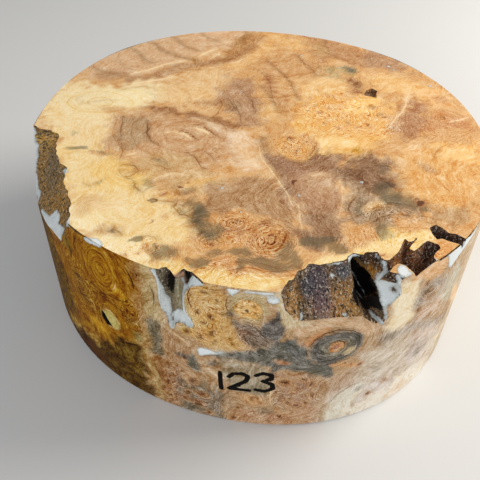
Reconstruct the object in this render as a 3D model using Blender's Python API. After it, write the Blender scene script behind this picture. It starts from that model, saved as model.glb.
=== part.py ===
"""Round turning blank sawn from a maple burl, with the natural bark voids left in its edge.

Metres, +Z up, origin at the centre of the underside. The blank is one piece of wood, so it is one
object. Angles on the wall are measured from the front (-Y), positive towards +X.
"""

import math

import bmesh
import bpy
from mathutils import Matrix, Vector, noise

MM = 0.001

# Driving dimensions, in millimetres.
DIAMETER = 200.0
THICKNESS = 82.0
SAWN_ARRIS = 0.5
WALL_SIDES = 144

# The bandsaw leaves the blank a little out of round: cosine and sine shares of the radius for
# each number of lobes, turned from +X, and one long swelling beside the left void.
LOBES = {2: (0.0054, -0.0217), 3: (-0.0032, 0.0012), 4: (-0.0078, 0.0056)}
LEFT_SWELLING = 1.4
LEFT_SWELLING_AT = -77.0
LEFT_SWELLING_SPREAD = 14.0

# How far a cutter stands out past the wall and above the sawn face.
CLEAR = 6.0
OUTSIDE = 1.2

# Left void: the bark surface that slopes from the face out to the wall. For each angle, how far
# the edge in the face is cut back from the rim, and how far down the wall the lip lies.
LEFT_VOID = (
    (-88.0, -1.5, -2.0),
    (-85.6, 3.0, 5.0),
    (-84.2, 9.5, 10.0),
    (-82.0, 12.8, 13.0),
    (-77.0, 12.2, 20.0),
    (-73.0, 12.4, 21.0),
    (-68.5, 12.6, 18.5),
    (-65.4, 14.6, 17.0),
    (-63.0, 12.8, 16.0),
    (-59.5, 10.2, 15.5),
    (-56.0, 9.7, 15.0),
    (-51.7, 8.0, 14.0),
    (-47.6, 4.4, 9.5),
    (-45.0, 0.6, 2.5),
    (-43.0, -1.5, -2.0),
)

# Front void: its outline in the wall, as angle and depth below the face, and the cut-back of its
# edge in the face. The left part is bark-lined and slopes, the right part is a deep cavity.
FRONT_OUTLINE = (
    (5.0, -9.0), (5.3, 0.0), (5.8, 3.4), (6.4, 8.5), (7.8, 11.5), (9.9, 14.2),
    (13.5, 13.6), (17.0, 13.4), (22.1, 15.1), (24.8, 20.0), (27.5, 23.4), (28.2, 19.0),
    (27.2, 14.2), (28.5, 12.2), (30.0, 9.3), (29.6, 5.0), (28.7, 2.0), (30.0, 0.6), (30.4, -9.0),
)
FRONT_EDGE = (
    (5.0, 0.4), (7.5, 5.6), (10.0, 9.8), (13.1, 13.0), (17.8, 12.6), (20.9, 13.7),
    (23.6, 15.4), (25.2, 13.9), (26.7, 15.4), (28.4, 14.4), (29.2, 10.6), (31.0, 9.4),
)
FRONT_GROOVE_AT = 9.8
FRONT_CAVITY_AT = 26.4
FRONT_CAVITY_WIDTH = 3.1
FRONT_CAVITY_DEPTH = 22.0
FRONT_FLANK = 3.2
# The waxed right flank leans out for this far before it drops into the cavity.
CURTAIN_FLANK = 1.75
CURTAIN_WIDTH = 4.5
# The cavity runs on behind that flank: angle, depth and inset of its middle, and its half sizes
# along the wall, inwards and up.
UNDERCUT_AT = (28.6, 13.5, 14.5)
UNDERCUT_SIZE = (8.0, 10.0, 7.0)

# Forked void left of the front: its outline in the wall and its edge in the face.
FORK_OUTLINE = (
    (-21.9, -9.0), (-21.2, 0.0), (-20.3, 2.6), (-19.7, 5.2), (-19.7, 10.0), (-19.9, 15.5),
    (-19.5, 19.3), (-18.5, 22.1), (-18.3, 26.0), (-17.6, 28.7), (-17.0, 27.3), (-16.3, 25.0),
    (-15.3, 23.8), (-14.5, 24.3), (-13.6, 25.6), (-12.7, 24.4), (-12.9, 22.2), (-13.6, 19.3),
    (-14.4, 17.3), (-14.5, 14.3), (-14.3, 10.2), (-13.8, 7.0), (-13.0, 4.2), (-11.9, 2.3),
    (-10.3, 0.9), (-9.6, 0.0), (-9.0, -9.0),
)
FORK_EDGE = (
    (-22.0, -1.0), (-21.2, 0.3), (-19.8, 0.9), (-19.2, 2.2), (-18.6, 2.9), (-17.7, 2.2),
    (-16.6, 1.4), (-16.1, 0.6), (-15.7, 3.4), (-15.2, 4.6), (-14.0, 3.8), (-13.1, 3.7),
    (-11.9, 4.6), (-11.1, 3.8), (-10.3, 2.3), (-9.6, 0.4), (-9.0, -1.0),
)
FORK_TONGUE_AT = -16.1
FORK_FLANK = 1.35

# Pits in the sawn face, as x and y outlines in millimetres: the rough pit beside the front void,
# the trench that runs out to the rim, and a small knot hole.
ROUGH_PIT = (
    (36.8, -82.5), (37.7, -80.0), (39.1, -77.9), (41.8, -77.7), (43.4, -77.5), (44.2, -80.3),
    (45.4, -81.5), (46.9, -81.5), (48.0, -80.3), (50.7, -77.1), (51.9, -74.8), (54.0, -69.8),
    (55.2, -71.6), (57.2, -70.8), (58.6, -68.0), (58.3, -70.2), (56.0, -73.0), (54.8, -75.2),
    (56.3, -76.2), (58.0, -74.8), (60.0, -72.4), (62.1, -70.5), (65.8, -72.4), (66.1, -74.3),
    (63.8, -76.6), (62.8, -78.9), (63.4, -80.6), (57.6, -86.3), (56.4, -90.0), (54.2, -86.4),
    (52.3, -83.7), (50.0, -82.8), (48.0, -84.4), (45.8, -88.0),
    (42.0, -91.0), (38.0, -89.0),
)
TRENCH = (
    (64.0, -63.4), (66.5, -61.6), (68.7, -63.1), (70.6, -65.8), (73.6, -66.4), (76.5, -68.9),
    (80.0, -72.0), (77.5, -75.5), (73.6, -71.8), (69.6, -70.2), (67.7, -69.0), (65.6, -69.6),
    (64.5, -66.7),
)
KNOT_HOLE = ((49.2, 31.6), (50.6, 36.0), (53.8, 38.6), (56.4, 36.2), (54.2, 30.0))

# Weathered slit in the left of the wall, as angle and depth below the face.
SLIT = ((-38.0, 38.6), (-37.0, 39.6), (-36.2, 42.6), (-34.9, 45.6), (-36.9, 46.2), (-38.2, 43.0))

TO_CENTRE = Vector((0.0, 0.0, 0.0))


def wall_radius(azimuth):
    """Radius of the sawn wall in millimetres at an angle from the front, in degrees."""
    turn = math.radians(azimuth - 90.0)
    share = 1.0
    for lobes, (cosine, sine) in LOBES.items():
        share += cosine * math.cos(lobes * turn) + sine * math.sin(lobes * turn)
    swelling = LEFT_SWELLING * math.exp(-(((azimuth - LEFT_SWELLING_AT) / LEFT_SWELLING_SPREAD) ** 2))
    return DIAMETER / 2 * share + swelling


def on_wall(azimuth, below, inset=0.0):
    """Point at an angle and a depth below the face, a given distance inside the wall."""
    radius = wall_radius(azimuth) - inset
    turn = math.radians(azimuth)
    return Vector((radius * math.sin(turn), -radius * math.cos(turn), THICKNESS - below))


def outline_centre():
    """Middle of the wall's bounding box, which becomes the origin."""
    ring = [on_wall(step * 0.5 - 180.0, 0.0) for step in range(720)]
    middle_x = (min(p.x for p in ring) + max(p.x for p in ring)) / 2
    middle_y = (min(p.y for p in ring) + max(p.y for p in ring)) / 2
    return Vector((middle_x, middle_y, 0.0))


def smooth_step(value):
    value = min(max(value, 0.0), 1.0)
    return value * value * (3.0 - 2.0 * value)


def read_row(table, at, column):
    """Value in a table sorted by its first column, eased between its rows."""
    if at <= table[0][0]:
        return table[0][column]
    for before, after in zip(table, table[1:]):
        if at <= after[0]:
            share = smooth_step((at - before[0]) / (after[0] - before[0]))
            return before[column] + (after[column] - before[column]) * share
    return table[-1][column]


def depth_inside(outline, x, y, scale_x=1.0):
    """Distance to an outline, positive inside it. scale_x turns degrees into millimetres."""
    nearest = 1e9
    inside = False
    corners = [(px * scale_x, py) for px, py in outline]
    x *= scale_x
    for (ax, ay), (bx, by) in zip(corners, corners[1:] + corners[:1]):
        edge_x, edge_y = bx - ax, by - ay
        share = ((x - ax) * edge_x + (y - ay) * edge_y) / (edge_x * edge_x + edge_y * edge_y)
        share = min(max(share, 0.0), 1.0)
        nearest = min(nearest, math.hypot(x - ax - edge_x * share, y - ay - edge_y * share))
        if (ay > y) != (by > y) and x < ax + (y - ay) * edge_x / edge_y:
            inside = not inside
    return nearest if inside else -nearest


def bark(point, height, pins):
    """Bark relief in millimetres: lumps with sharper pins between them."""
    lump = noise.noise(point / (pins * 2.3))
    pin = noise.noise(point / pins + Vector((7.1, 3.3, 1.9)))
    return height * (0.6 * lump + 0.7 * pin)


def degree_length():
    """Length of one degree of the wall in millimetres."""
    return math.radians(DIAMETER / 2)


def left_void_inset(azimuth, below):
    cut_back = read_row(LEFT_VOID, azimuth, 1)
    lip = read_row(LEFT_VOID, azimuth, 2)
    if cut_back <= 0.0 or lip <= 0.0:
        return -OUTSIDE
    down = max(below, 0.0) / lip
    relief = bark(on_wall(azimuth, max(below, 0.0)), 1.1, 3.1) * smooth_step(4.0 * (1.0 - down))
    if down < 1.0:
        return cut_back * (1.0 - down**1.25) + relief * min(1.0, cut_back / 3.0)
    return max(-OUTSIDE, -cut_back * (down - 1.0) * 2.0)


def front_void_inset(azimuth, below):
    within = depth_inside(FRONT_OUTLINE, azimuth, below, degree_length())
    if within < 0.0:
        return max(-OUTSIDE, within)
    cut_back = read_row(FRONT_EDGE, azimuth, 1)
    floor = 14.0 + 9.0 * smooth_step((azimuth - 21.5) / 5.0)
    down = max(below, 0.0)
    slope = cut_back * max(0.0, 1.0 - (down / floor) ** 1.2)
    away = (azimuth - FRONT_CAVITY_AT) / FRONT_CAVITY_WIDTH
    cavity = math.exp(-(away**4)) * smooth_step(down / 6.0)
    groove = math.exp(-(((azimuth - FRONT_GROOVE_AT) / 0.7) ** 2)) * smooth_step(down / 5.0)
    relief = bark(on_wall(azimuth, down), 1.3, 3.4) + 1.6 * groove
    inset = slope + 0.5 + relief * min(1.0, within / 2.0)
    inset += (FRONT_CAVITY_DEPTH - inset) * cavity
    curtain = smooth_step((azimuth - 24.2) / 2.6)
    flank = FRONT_FLANK + (CURTAIN_FLANK - FRONT_FLANK) * curtain
    return min(flank * within + 5.0 * curtain * max(0.0, within - CURTAIN_WIDTH), inset)


def fork_void_inset(azimuth, below):
    within = depth_inside(FORK_OUTLINE, azimuth, below, degree_length())
    if within < 0.0:
        return max(-OUTSIDE, within)
    down = max(below, 0.0)
    edge = read_row(FORK_EDGE, azimuth, 1)
    inner = 8.0 - 5.0 * smooth_step((down - 12.0) / 15.0)
    inset = edge + (inner - edge) * smooth_step(down / 3.5)
    tongue = math.exp(-(((azimuth - FORK_TONGUE_AT) / 0.75) ** 2)) * (1.0 - smooth_step(down / 7.5))
    inset -= 0.85 * tongue * max(0.0, inset - 0.6)
    inset += bark(on_wall(azimuth, down), 0.5, 3.0) * min(1.0, within / 2.0)
    return min(FORK_FLANK * within, inset)


def slit_inset(azimuth, below):
    within = depth_inside(SLIT, azimuth, below, degree_length())
    return max(-OUTSIDE, within) if within < 0.0 else min(2.5 * within, 3.0)


def pit_depth(outline, slope, most, rough):
    """Depth of a pit below the sawn face as a function of x and y."""

    def depth(x, y):
        within = depth_inside(outline, x, y)
        if within < 0.0:
            return max(-OUTSIDE, within * 1.5)
        relief = bark(Vector((x, y, 0.0)), rough, 2.6) * min(1.0, within)
        return max(0.3 * min(1.0, within), min(slope * within, most) + relief)

    return depth


def link_cutter(name, bm):
    if bm.calc_volume(signed=True) < 0.0:
        bmesh.ops.reverse_faces(bm, faces=bm.faces)
    mesh = bpy.data.meshes.new(name)
    bm.to_mesh(mesh)
    bm.free()
    cutter = bpy.data.objects.new(name, mesh)
    cutter.hide_render = True
    cutter.display_type = "WIRE"
    cutters.objects.link(cutter)
    return cutter


def make_cutter(name, columns, rows, inner, outer):
    """Closed solid between two sheets, each a function of u and v from 0 to 1."""
    bm = bmesh.new()
    bmesh.ops.create_grid(bm, x_segments=columns, y_segments=rows, size=0.5)
    places = {vert: (vert.co.x + 0.5, vert.co.y + 0.5) for vert in bm.verts}
    made = bmesh.ops.extrude_face_region(bm, geom=bm.faces[:])
    for vert in (item for item in made["geom"] if isinstance(item, bmesh.types.BMVert)):
        vert.co = (outer(vert.co.x + 0.5, vert.co.y + 0.5) - TO_CENTRE) * MM
    for vert, (u, v) in places.items():
        vert.co = (inner(u, v) - TO_CENTRE) * MM
    bmesh.ops.recalc_face_normals(bm, faces=bm.faces)
    return link_cutter(name, bm)


def wall_cutter(name, span, drop, spacing, inset):
    """Cutter for a void in the wall. span is two angles, drop two depths below the face."""
    columns = round((span[1] - span[0]) * degree_length() / spacing)
    rows = round((drop[1] - drop[0]) / spacing)

    def place(u, v):
        return span[0] + (span[1] - span[0]) * u, drop[0] + (drop[1] - drop[0]) * v

    def inner(u, v):
        azimuth, below = place(u, v)
        return on_wall(azimuth, below, inset(azimuth, below))

    def outer(u, v):
        azimuth, below = place(u, v)
        return on_wall(azimuth, below, -CLEAR)

    return make_cutter(name, columns, rows, inner, outer)


def face_cutter(name, outline, spacing, slope, most, rough):
    """Cutter for a pit in the sawn face."""
    low = Vector((min(x for x, _ in outline) - OUTSIDE, min(y for _, y in outline) - OUTSIDE))
    high = Vector((max(x for x, _ in outline) + OUTSIDE, max(y for _, y in outline) + OUTSIDE))
    depth = pit_depth(outline, slope, most, rough)
    size = high - low

    def inner(u, v):
        x, y = low.x + size.x * u, low.y + size.y * v
        return Vector((x, y, THICKNESS - depth(x, y)))

    def outer(u, v):
        return Vector((low.x + size.x * u, low.y + size.y * v, THICKNESS + CLEAR))

    return make_cutter(name, round(size.x / spacing), round(size.y / spacing), inner, outer)


def undercut_cutter():
    """Lumpy hollow behind the waxed flank of the front void."""
    azimuth, below, inset = UNDERCUT_AT
    middle = on_wall(azimuth, below, inset)
    bm = bmesh.new()
    bmesh.ops.create_icosphere(bm, subdivisions=3, radius=1.0)
    turn = Matrix.Rotation(math.radians(azimuth), 3, "Z")
    for vert in bm.verts:
        lump = 1.0 + 0.16 * noise.noise(vert.co * 2.1)
        sized = Vector(size * part for size, part in zip(UNDERCUT_SIZE, vert.co)) * lump
        vert.co = (middle + turn @ sized - TO_CENTRE) * MM
    return link_cutter("undercut", bm)


def make_blank():
    """The sawn disc: a cylinder whose wall follows the out-of-round outline."""
    bm = bmesh.new()
    bmesh.ops.create_cone(
        bm, cap_ends=True, segments=WALL_SIDES, radius1=1.0, radius2=1.0, depth=THICKNESS
    )
    for vert in bm.verts:
        azimuth = math.degrees(math.atan2(vert.co.x, -vert.co.y))
        below = 0.0 if vert.co.z > 0.0 else THICKNESS
        vert.co = (on_wall(azimuth, below) - TO_CENTRE) * MM
    rims = [edge for edge in bm.edges if len({round(face.normal.z) for face in edge.link_faces}) > 1]
    bmesh.ops.bevel(bm, geom=rims, offset=SAWN_ARRIS * MM, segments=1, affect="EDGES")
    mesh = bpy.data.meshes.new("burl_blank")
    bm.to_mesh(mesh)
    bm.free()
    mesh.shade_smooth()
    mesh.set_sharp_from_angle(angle=math.radians(35.0))
    blank = bpy.data.objects.new("burl_blank", mesh)
    parts.objects.link(blank)
    return blank


def sealed_maple():
    """Waxed burl wood: a pale tan with a soft sheen."""
    material = bpy.data.materials.new("sealed maple burl")
    material.use_nodes = True
    shader = material.node_tree.nodes["Principled BSDF"]
    shader.inputs["Base Color"].default_value = (0.62, 0.40, 0.20, 1.0)
    shader.inputs["Roughness"].default_value = 0.42
    shader.inputs["Metallic"].default_value = 0.0
    return material


for old in list(bpy.data.objects):
    bpy.data.objects.remove(old, do_unlink=True)

parts = bpy.data.collections.new("maple burl blank")
cutters = bpy.data.collections.new("cutters")
for collection in (parts, cutters):
    bpy.context.scene.collection.children.link(collection)
cutters.hide_render = True

TO_CENTRE = outline_centre()
burl_blank = make_blank()
burl_blank.data.materials.append(sealed_maple())

voids = (
    wall_cutter("left_void", (-88.0, -43.0), (-5.0, 23.0), 1.6, left_void_inset),
    wall_cutter("front_void", (3.8, 31.6), (-5.0, 25.0), 1.3, front_void_inset),
    undercut_cutter(),
    wall_cutter("fork_void", (-23.0, -8.4), (-4.0, 30.0), 1.05, fork_void_inset),
    wall_cutter("slit", (-39.4, -33.8), (37.0, 48.0), 1.0, slit_inset),
    face_cutter("rough_pit", ROUGH_PIT, 1.1, 2.1, 7.5, 1.1),
    face_cutter("trench", TRENCH, 0.9, 1.8, 3.4, 0.7),
    face_cutter("knot_hole", KNOT_HOLE, 1.0, 1.2, 1.8, 0.2),
)
for void in voids:
    cut = burl_blank.modifiers.new(void.name, "BOOLEAN")
    cut.operation = "DIFFERENCE"
    cut.solver = "EXACT"
    cut.object = void
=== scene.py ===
# %% [markdown]
# # A round turning blank of maple burl
#
# Burl is wood that grew in knots: hundreds of dormant buds swelled inside it, so the grain swirls round
# small eyes, and bark stayed trapped where the lumps met. This blank was sawn to a disc, its two faces
# flat, and sealed with wax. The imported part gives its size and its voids. Here the same disc is made
# with a much finer skin, and that skin carries the figure of the wood.

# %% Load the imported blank
import math

import bmesh
import bpy
import numpy as np
from mathutils import Matrix, Vector, noise


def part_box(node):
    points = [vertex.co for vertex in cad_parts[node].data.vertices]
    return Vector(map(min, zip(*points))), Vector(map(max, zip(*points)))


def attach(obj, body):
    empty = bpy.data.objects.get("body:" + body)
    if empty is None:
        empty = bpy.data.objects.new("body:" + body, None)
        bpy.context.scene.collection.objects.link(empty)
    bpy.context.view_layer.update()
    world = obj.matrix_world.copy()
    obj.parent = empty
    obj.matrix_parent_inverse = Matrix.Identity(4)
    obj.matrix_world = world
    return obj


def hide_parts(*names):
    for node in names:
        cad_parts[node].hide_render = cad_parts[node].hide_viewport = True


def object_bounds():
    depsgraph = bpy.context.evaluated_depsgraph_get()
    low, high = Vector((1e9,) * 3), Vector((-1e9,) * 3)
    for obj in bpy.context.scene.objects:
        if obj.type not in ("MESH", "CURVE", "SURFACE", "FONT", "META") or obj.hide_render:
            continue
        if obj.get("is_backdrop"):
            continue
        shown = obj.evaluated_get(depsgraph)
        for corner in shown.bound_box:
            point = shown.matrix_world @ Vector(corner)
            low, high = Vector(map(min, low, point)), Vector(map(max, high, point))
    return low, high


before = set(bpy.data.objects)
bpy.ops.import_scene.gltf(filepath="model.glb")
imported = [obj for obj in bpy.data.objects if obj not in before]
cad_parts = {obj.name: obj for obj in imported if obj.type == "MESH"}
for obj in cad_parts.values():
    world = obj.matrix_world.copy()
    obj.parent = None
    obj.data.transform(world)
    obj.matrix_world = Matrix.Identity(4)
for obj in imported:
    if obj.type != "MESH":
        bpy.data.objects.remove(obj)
packed_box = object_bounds()
MM = 0.001
low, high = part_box("burl_blank")
print("packed blank, mm:", [round(side / MM, 1) for side in high - low])

# %% [markdown]
# ## The camera
#
# The disc is seen from above its front edge, near enough that the back rim looks much smaller than the
# front. The camera's place is given from the middle of the sawn face, in millimetres, and it leans a
# little to one side as a hand-held camera does. It is made first, because all later judging depends
# on it.

# %% Camera
PICTURE_SIDE = 480.0
SENSOR = 36.0
FACE_MIDDLE = Vector((0.62, 0.19, 82.0))
CAMERA_AWAY = 281.36
CAMERA_RISE = 0.568033
CAMERA_ROLL = 0.0385438
AIM_RIGHT = -0.0249282
AIM_UP = -0.1831519
FOCAL_PIXELS = 620.0

camera_back = Vector((0.0, -math.cos(CAMERA_RISE), math.sin(CAMERA_RISE)))
camera_up = Vector((0.0, math.sin(CAMERA_RISE), math.cos(CAMERA_RISE)))
aim = (AIM_RIGHT * Vector((1.0, 0.0, 0.0)) + AIM_UP * camera_up - camera_back).normalized()
level_right = aim.cross(camera_up).normalized()
level_up = level_right.cross(aim)
leaning_right = math.cos(CAMERA_ROLL) * level_right + math.sin(CAMERA_ROLL) * level_up
leaning_up = math.cos(CAMERA_ROLL) * level_up - math.sin(CAMERA_ROLL) * level_right

camera_data = bpy.data.cameras.new("camera")
camera_data.sensor_width = SENSOR
camera_data.lens = FOCAL_PIXELS / PICTURE_SIDE * SENSOR
camera_data.clip_start = 0.01
camera = bpy.data.objects.new("camera", camera_data)
bpy.context.scene.collection.objects.link(camera)
camera_place = (FACE_MIDDLE + camera_back * CAMERA_AWAY) * MM
camera.matrix_world = Matrix.Translation(camera_place) @ Matrix(
    (leaning_right, leaning_up, -aim)
).transposed().to_4x4()
bpy.context.scene.camera = camera
print("camera at, mm:", [round(part / MM) for part in camera_place])

# %% [markdown]
# ## Floor and light
#
# A plain pale floor and soft studio light. One large panel stands behind the right shoulder of the
# disc and gives the bright right wall and back rim. A weaker panel in front fills the near wall, and
# the world lifts the shadows.

# %% Floor and light
def to_linear(hex_colour, alpha=1.0):
    """An sRGB colour such as "#C89050", as the linear RGBA that shaders take."""
    values = [int(hex_colour[place : place + 2], 16) / 255 for place in (1, 3, 5)]
    return [v / 12.92 if v <= 0.04045 else ((v + 0.055) / 1.055) ** 2.4 for v in values] + [alpha]


def add_node(tree, kind, inputs=(), output=0, **settings):
    """Adds a shader node and gives back one of its outputs.

    Inputs are values, or outputs to link from: a list in order, or a dict by name or number.
    """
    new = tree.nodes.new("ShaderNode" + kind)
    for name, value in settings.items():
        setattr(new, name, value)
    for name, value in inputs.items() if isinstance(inputs, dict) else enumerate(inputs):
        if isinstance(value, bpy.types.NodeSocket):
            tree.links.new(value, new.inputs[name])
        else:
            new.inputs[name].default_value = value
    return new.outputs[output] if new.outputs else None


def new_material(name):
    """An empty node material and its tree."""
    material = bpy.data.materials.new(name)
    material.use_nodes = True
    material.node_tree.nodes.clear()
    return material, material.node_tree


COAT_ROUGHNESS = 0.3


def finish_material(tree, colour, roughness, relief=None, depth=0.0, coat=0.0, mirror=0.12):
    """Closes a material with a Principled shader. Relief is a bump of a depth in millimetres.

    Wood, wax and bark have an IOR near 1.5, which is the shader's own. Only their shine differs.
    """
    inputs = {"Base Color": colour, "Roughness": roughness, "Coat Weight": coat}
    inputs["Coat Roughness"] = COAT_ROUGHNESS
    inputs["Specular IOR Level"] = mirror
    if relief is not None:
        bump = {"Height": relief, "Strength": 1.0, "Distance": depth * MM}
        inputs["Normal"] = add_node(tree, "Bump", bump)
    shader = add_node(tree, "BsdfPrincipled", inputs)
    add_node(tree, "OutputMaterial", {"Surface": shader})


FLOOR_SIDE = 6.0
FLOOR_HEIGHT = -0.0002
bpy.ops.object.select_all(action="DESELECT")
bpy.ops.mesh.primitive_plane_add(size=FLOOR_SIDE, location=(0.0, 0.0, FLOOR_HEIGHT))
floor = bpy.context.object
floor.name = "floor"
floor_paint, tree = new_material("matt pale studio floor")
finish_material(tree, to_linear("#D2D1CE"), roughness=0.7)
floor.data.materials.append(floor_paint)
floor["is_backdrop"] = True


def add_panel(name, place, size, power, tint):
    """A square light panel that faces the middle of the sawn face. Place is in metres."""
    light = bpy.data.lights.new(name, "AREA")
    light.size = size
    light.energy = power
    light.color = to_linear(tint)[:3]
    panel = bpy.data.objects.new(name, light)
    bpy.context.scene.collection.objects.link(panel)
    panel.location = place
    towards = FACE_MIDDLE * MM - Vector(place)
    panel.rotation_euler = towards.to_track_quat("-Z", "Y").to_euler()


SKY_STRENGTH = 0.4
add_panel("window_panel", (0.68, 0.22, 0.50), size=0.5, power=8.5, tint="#FFFAF2")
add_panel("front_panel", (-0.15, -0.95, 0.55), size=0.8, power=6.0, tint="#F8FAFF")
world = bpy.data.worlds.new("studio")
world.use_nodes = True
sky = world.node_tree.nodes["Background"]
sky.inputs["Color"].default_value = to_linear("#EFF3F8")
sky.inputs["Strength"].default_value = SKY_STRENGTH
print("panels:", [light.name for light in bpy.data.lights])
bpy.context.scene.world = world
bpy.context.scene.view_settings.view_transform = "Standard"

# %% [markdown]
# ## The sizes of the blank
#
# The same driving sizes as in the part: diameter, thickness, and how far the bandsaw left the outline
# out of round. An angle on the wall is measured from the front, positive towards +X, and a depth is
# measured down from the sawn face. One degree is about 1.75 mm of wall.

# %% Sizes and outline
DIAMETER = 200.0
THICKNESS = 82.0
SAWN_ARRIS = 0.5
LOBES = {2: (0.0054, -0.0217), 3: (-0.0032, 0.0012), 4: (-0.0078, 0.0056)}
LEFT_SWELLING = 1.4
LEFT_SWELLING_AT = -77.0
LEFT_SWELLING_SPREAD = 14.0
DEGREE = math.radians(DIAMETER / 2)


def wall_radius(azimuth):
    """Radius of the sawn wall in millimetres, for one angle or an array of angles in degrees."""
    turn = np.radians(np.asarray(azimuth) - 90.0)
    share = 1.0
    for lobes, (cosine, sine) in LOBES.items():
        share = share + cosine * np.cos(lobes * turn) + sine * np.sin(lobes * turn)
    away = (np.asarray(azimuth) - LEFT_SWELLING_AT) / LEFT_SWELLING_SPREAD
    return DIAMETER / 2 * share + LEFT_SWELLING * np.exp(-(away**2))


def on_wall(azimuth, below, inset=0.0):
    """Point at an angle and a depth, a given distance inside the wall, from the face's middle."""
    radius = float(wall_radius(azimuth)) - inset
    turn = math.radians(azimuth)
    return Vector((radius * math.sin(turn), -radius * math.cos(turn), THICKNESS - below))


ring_angles = np.arange(-180.0, 180.0, 0.5)
ring_x = wall_radius(ring_angles) * np.sin(np.radians(ring_angles))
ring_y = -wall_radius(ring_angles) * np.cos(np.radians(ring_angles))
CENTRE_X = (ring_x.min() + ring_x.max()) / 2
CENTRE_Y = (ring_y.min() + ring_y.max()) / 2
TO_CENTRE = Vector((CENTRE_X, CENTRE_Y, 0.0))
print("outline centre, mm:", round(CENTRE_X, 2), round(CENTRE_Y, 2))

# %% [markdown]
# ## The disc with a fine skin
#
# A grid primitive is rounded to the sawn outline: each square ring of the grid becomes a round one, so
# the cells stay near a millimetre over the whole face. Extruded down, cut into rows and bevelled at
# its rims, it is the disc. The skin is this fine because each of its points will carry the wood's
# figure.

# %% The disc
FACE_CELLS = 180
WALL_ROWS = 55


def select_where(obj, kind, wanted):
    """In edit mode: selects the vertices, edges or faces for which wanted(element) is true."""
    bm = bmesh.from_edit_mesh(obj.data)
    for element in (*bm.faces, *bm.edges, *bm.verts):
        element.select = False
    for element in getattr(bm, kind):
        if wanted(element):
            element.select_set(True)
    bm.select_mode = {{"verts": "VERT", "edges": "EDGE", "faces": "FACE"}[kind]}
    bmesh.update_edit_mesh(obj.data)


def round_the_grid(obj):
    """Moves the points of a square grid, from -1 to 1, onto the sawn outline."""
    count = len(obj.data.vertices)
    flat = np.empty(count * 3)
    obj.data.vertices.foreach_get("co", flat)
    x, y = flat.reshape(-1, 3)[:, 0], flat.reshape(-1, 3)[:, 1]
    disc_x = x * np.sqrt(1.0 - y * y / 2.0)
    disc_y = y * np.sqrt(1.0 - x * x / 2.0)
    azimuth = np.degrees(np.arctan2(disc_x, -disc_y))
    radius = np.hypot(disc_x, disc_y) * wall_radius(azimuth)
    turn = np.radians(azimuth)
    places = np.stack(
        [radius * np.sin(turn) - CENTRE_X, -radius * np.cos(turn) - CENTRE_Y, np.zeros(count)], 1
    )
    obj.data.vertices.foreach_set("co", (places * MM).ravel())
    obj.data.update()


bpy.ops.object.select_all(action="DESELECT")
bpy.ops.mesh.primitive_grid_add(x_subdivisions=FACE_CELLS, y_subdivisions=FACE_CELLS, size=2.0)
burl = bpy.context.object
burl.name = "waxed_burl"
round_the_grid(burl)
burl.data.transform(Matrix.Translation((0.0, 0.0, THICKNESS * MM)))
bpy.ops.object.mode_set(mode="EDIT")
bpy.ops.mesh.select_all(action="SELECT")
bpy.ops.mesh.extrude_region_move(TRANSFORM_OT_translate={"value": (0.0, 0.0, -THICKNESS * MM)})
select_where(burl, "faces", lambda face: face.calc_center_median().z < 0.1 * MM)
bpy.ops.mesh.dissolve_faces()
select_where(burl, "edges", lambda edge: abs(edge.verts[0].co.z - edge.verts[1].co.z) > MM)
bpy.ops.mesh.subdivide(number_cuts=WALL_ROWS - 1)
select_where(
    burl,
    "edges",
    lambda edge: len({abs(round(face.normal.z)) for face in edge.link_faces}) > 1,
)
bpy.ops.mesh.bevel(offset=SAWN_ARRIS * MM, segments=1)
bpy.ops.mesh.select_all(action="SELECT")
bpy.ops.mesh.normals_make_consistent(inside=False)
bpy.ops.object.mode_set(mode="OBJECT")
print("disc:", len(burl.data.polygons), "faces")

# %% [markdown]
# ## The bark voids
#
# Where two lumps of burl met, bark was caught between them, and the saw opened those pockets. Each void
# is a closed cutter: for every angle and depth a rule says how far the bark surface lies inside the
# wall. The rules and outlines are the part's own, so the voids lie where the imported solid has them, and
# a finer layer of bark relief is added on top. The cutters are then taken from the disc by Boolean.

# %% Outlines of the voids
# Left void: angle, how far its edge is cut back in the face, and how far down the wall its lip lies.
LEFT_VOID = (
    (-88, -1.5, -2), (-85.6, 3, 5), (-84.2, 9.5, 10), (-82, 12.8, 13),
    (-77, 12.2, 20), (-73, 12.4, 21), (-68.5, 12.6, 18.5), (-65.4, 14.6, 17),
    (-63, 12.8, 16), (-59.5, 10.2, 15.5), (-56, 9.7, 15), (-51.7, 8, 14),
    (-47.6, 4.4, 9.5), (-45, 0.6, 2.5), (-43, -1.5, -2),
)
# Front void: its outline in the wall as angle and depth, and the cut-back of its edge in the face.
FRONT_OUTLINE = (
    (5, -9), (5.3, 0), (5.8, 3.4), (6.4, 8.5), (7.8, 11.5), (9.9, 14.2),
    (13.5, 13.6), (17, 13.4), (22.1, 15.1), (24.8, 20), (27.5, 23.4), (28.2, 19),
    (27.2, 14.2), (28.5, 12.2), (30, 9.3), (29.6, 5), (28.7, 2), (30, 0.6), (30.4, -9),
)
FRONT_EDGE = (
    (5, 0.4), (7.5, 5.6), (10, 9.8), (13.1, 13), (17.8, 12.6), (20.9, 13.7),
    (23.6, 15.4), (25.2, 13.9), (26.7, 15.4), (28.4, 14.4), (29.2, 10.6), (31, 9.4),
)
FRONT_GROOVE_AT = 9.8
FRONT_CAVITY_AT = 26.4
FRONT_CAVITY_WIDTH = 3.1
FRONT_CAVITY_DEPTH = 22.0
FRONT_FLANK = 3.2
CURTAIN_FLANK = 1.75
CURTAIN_WIDTH = 4.5
UNDERCUT_AT = (28.6, 13.5, 14.5)
UNDERCUT_SIZE = (8.0, 10.0, 7.0)
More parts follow.
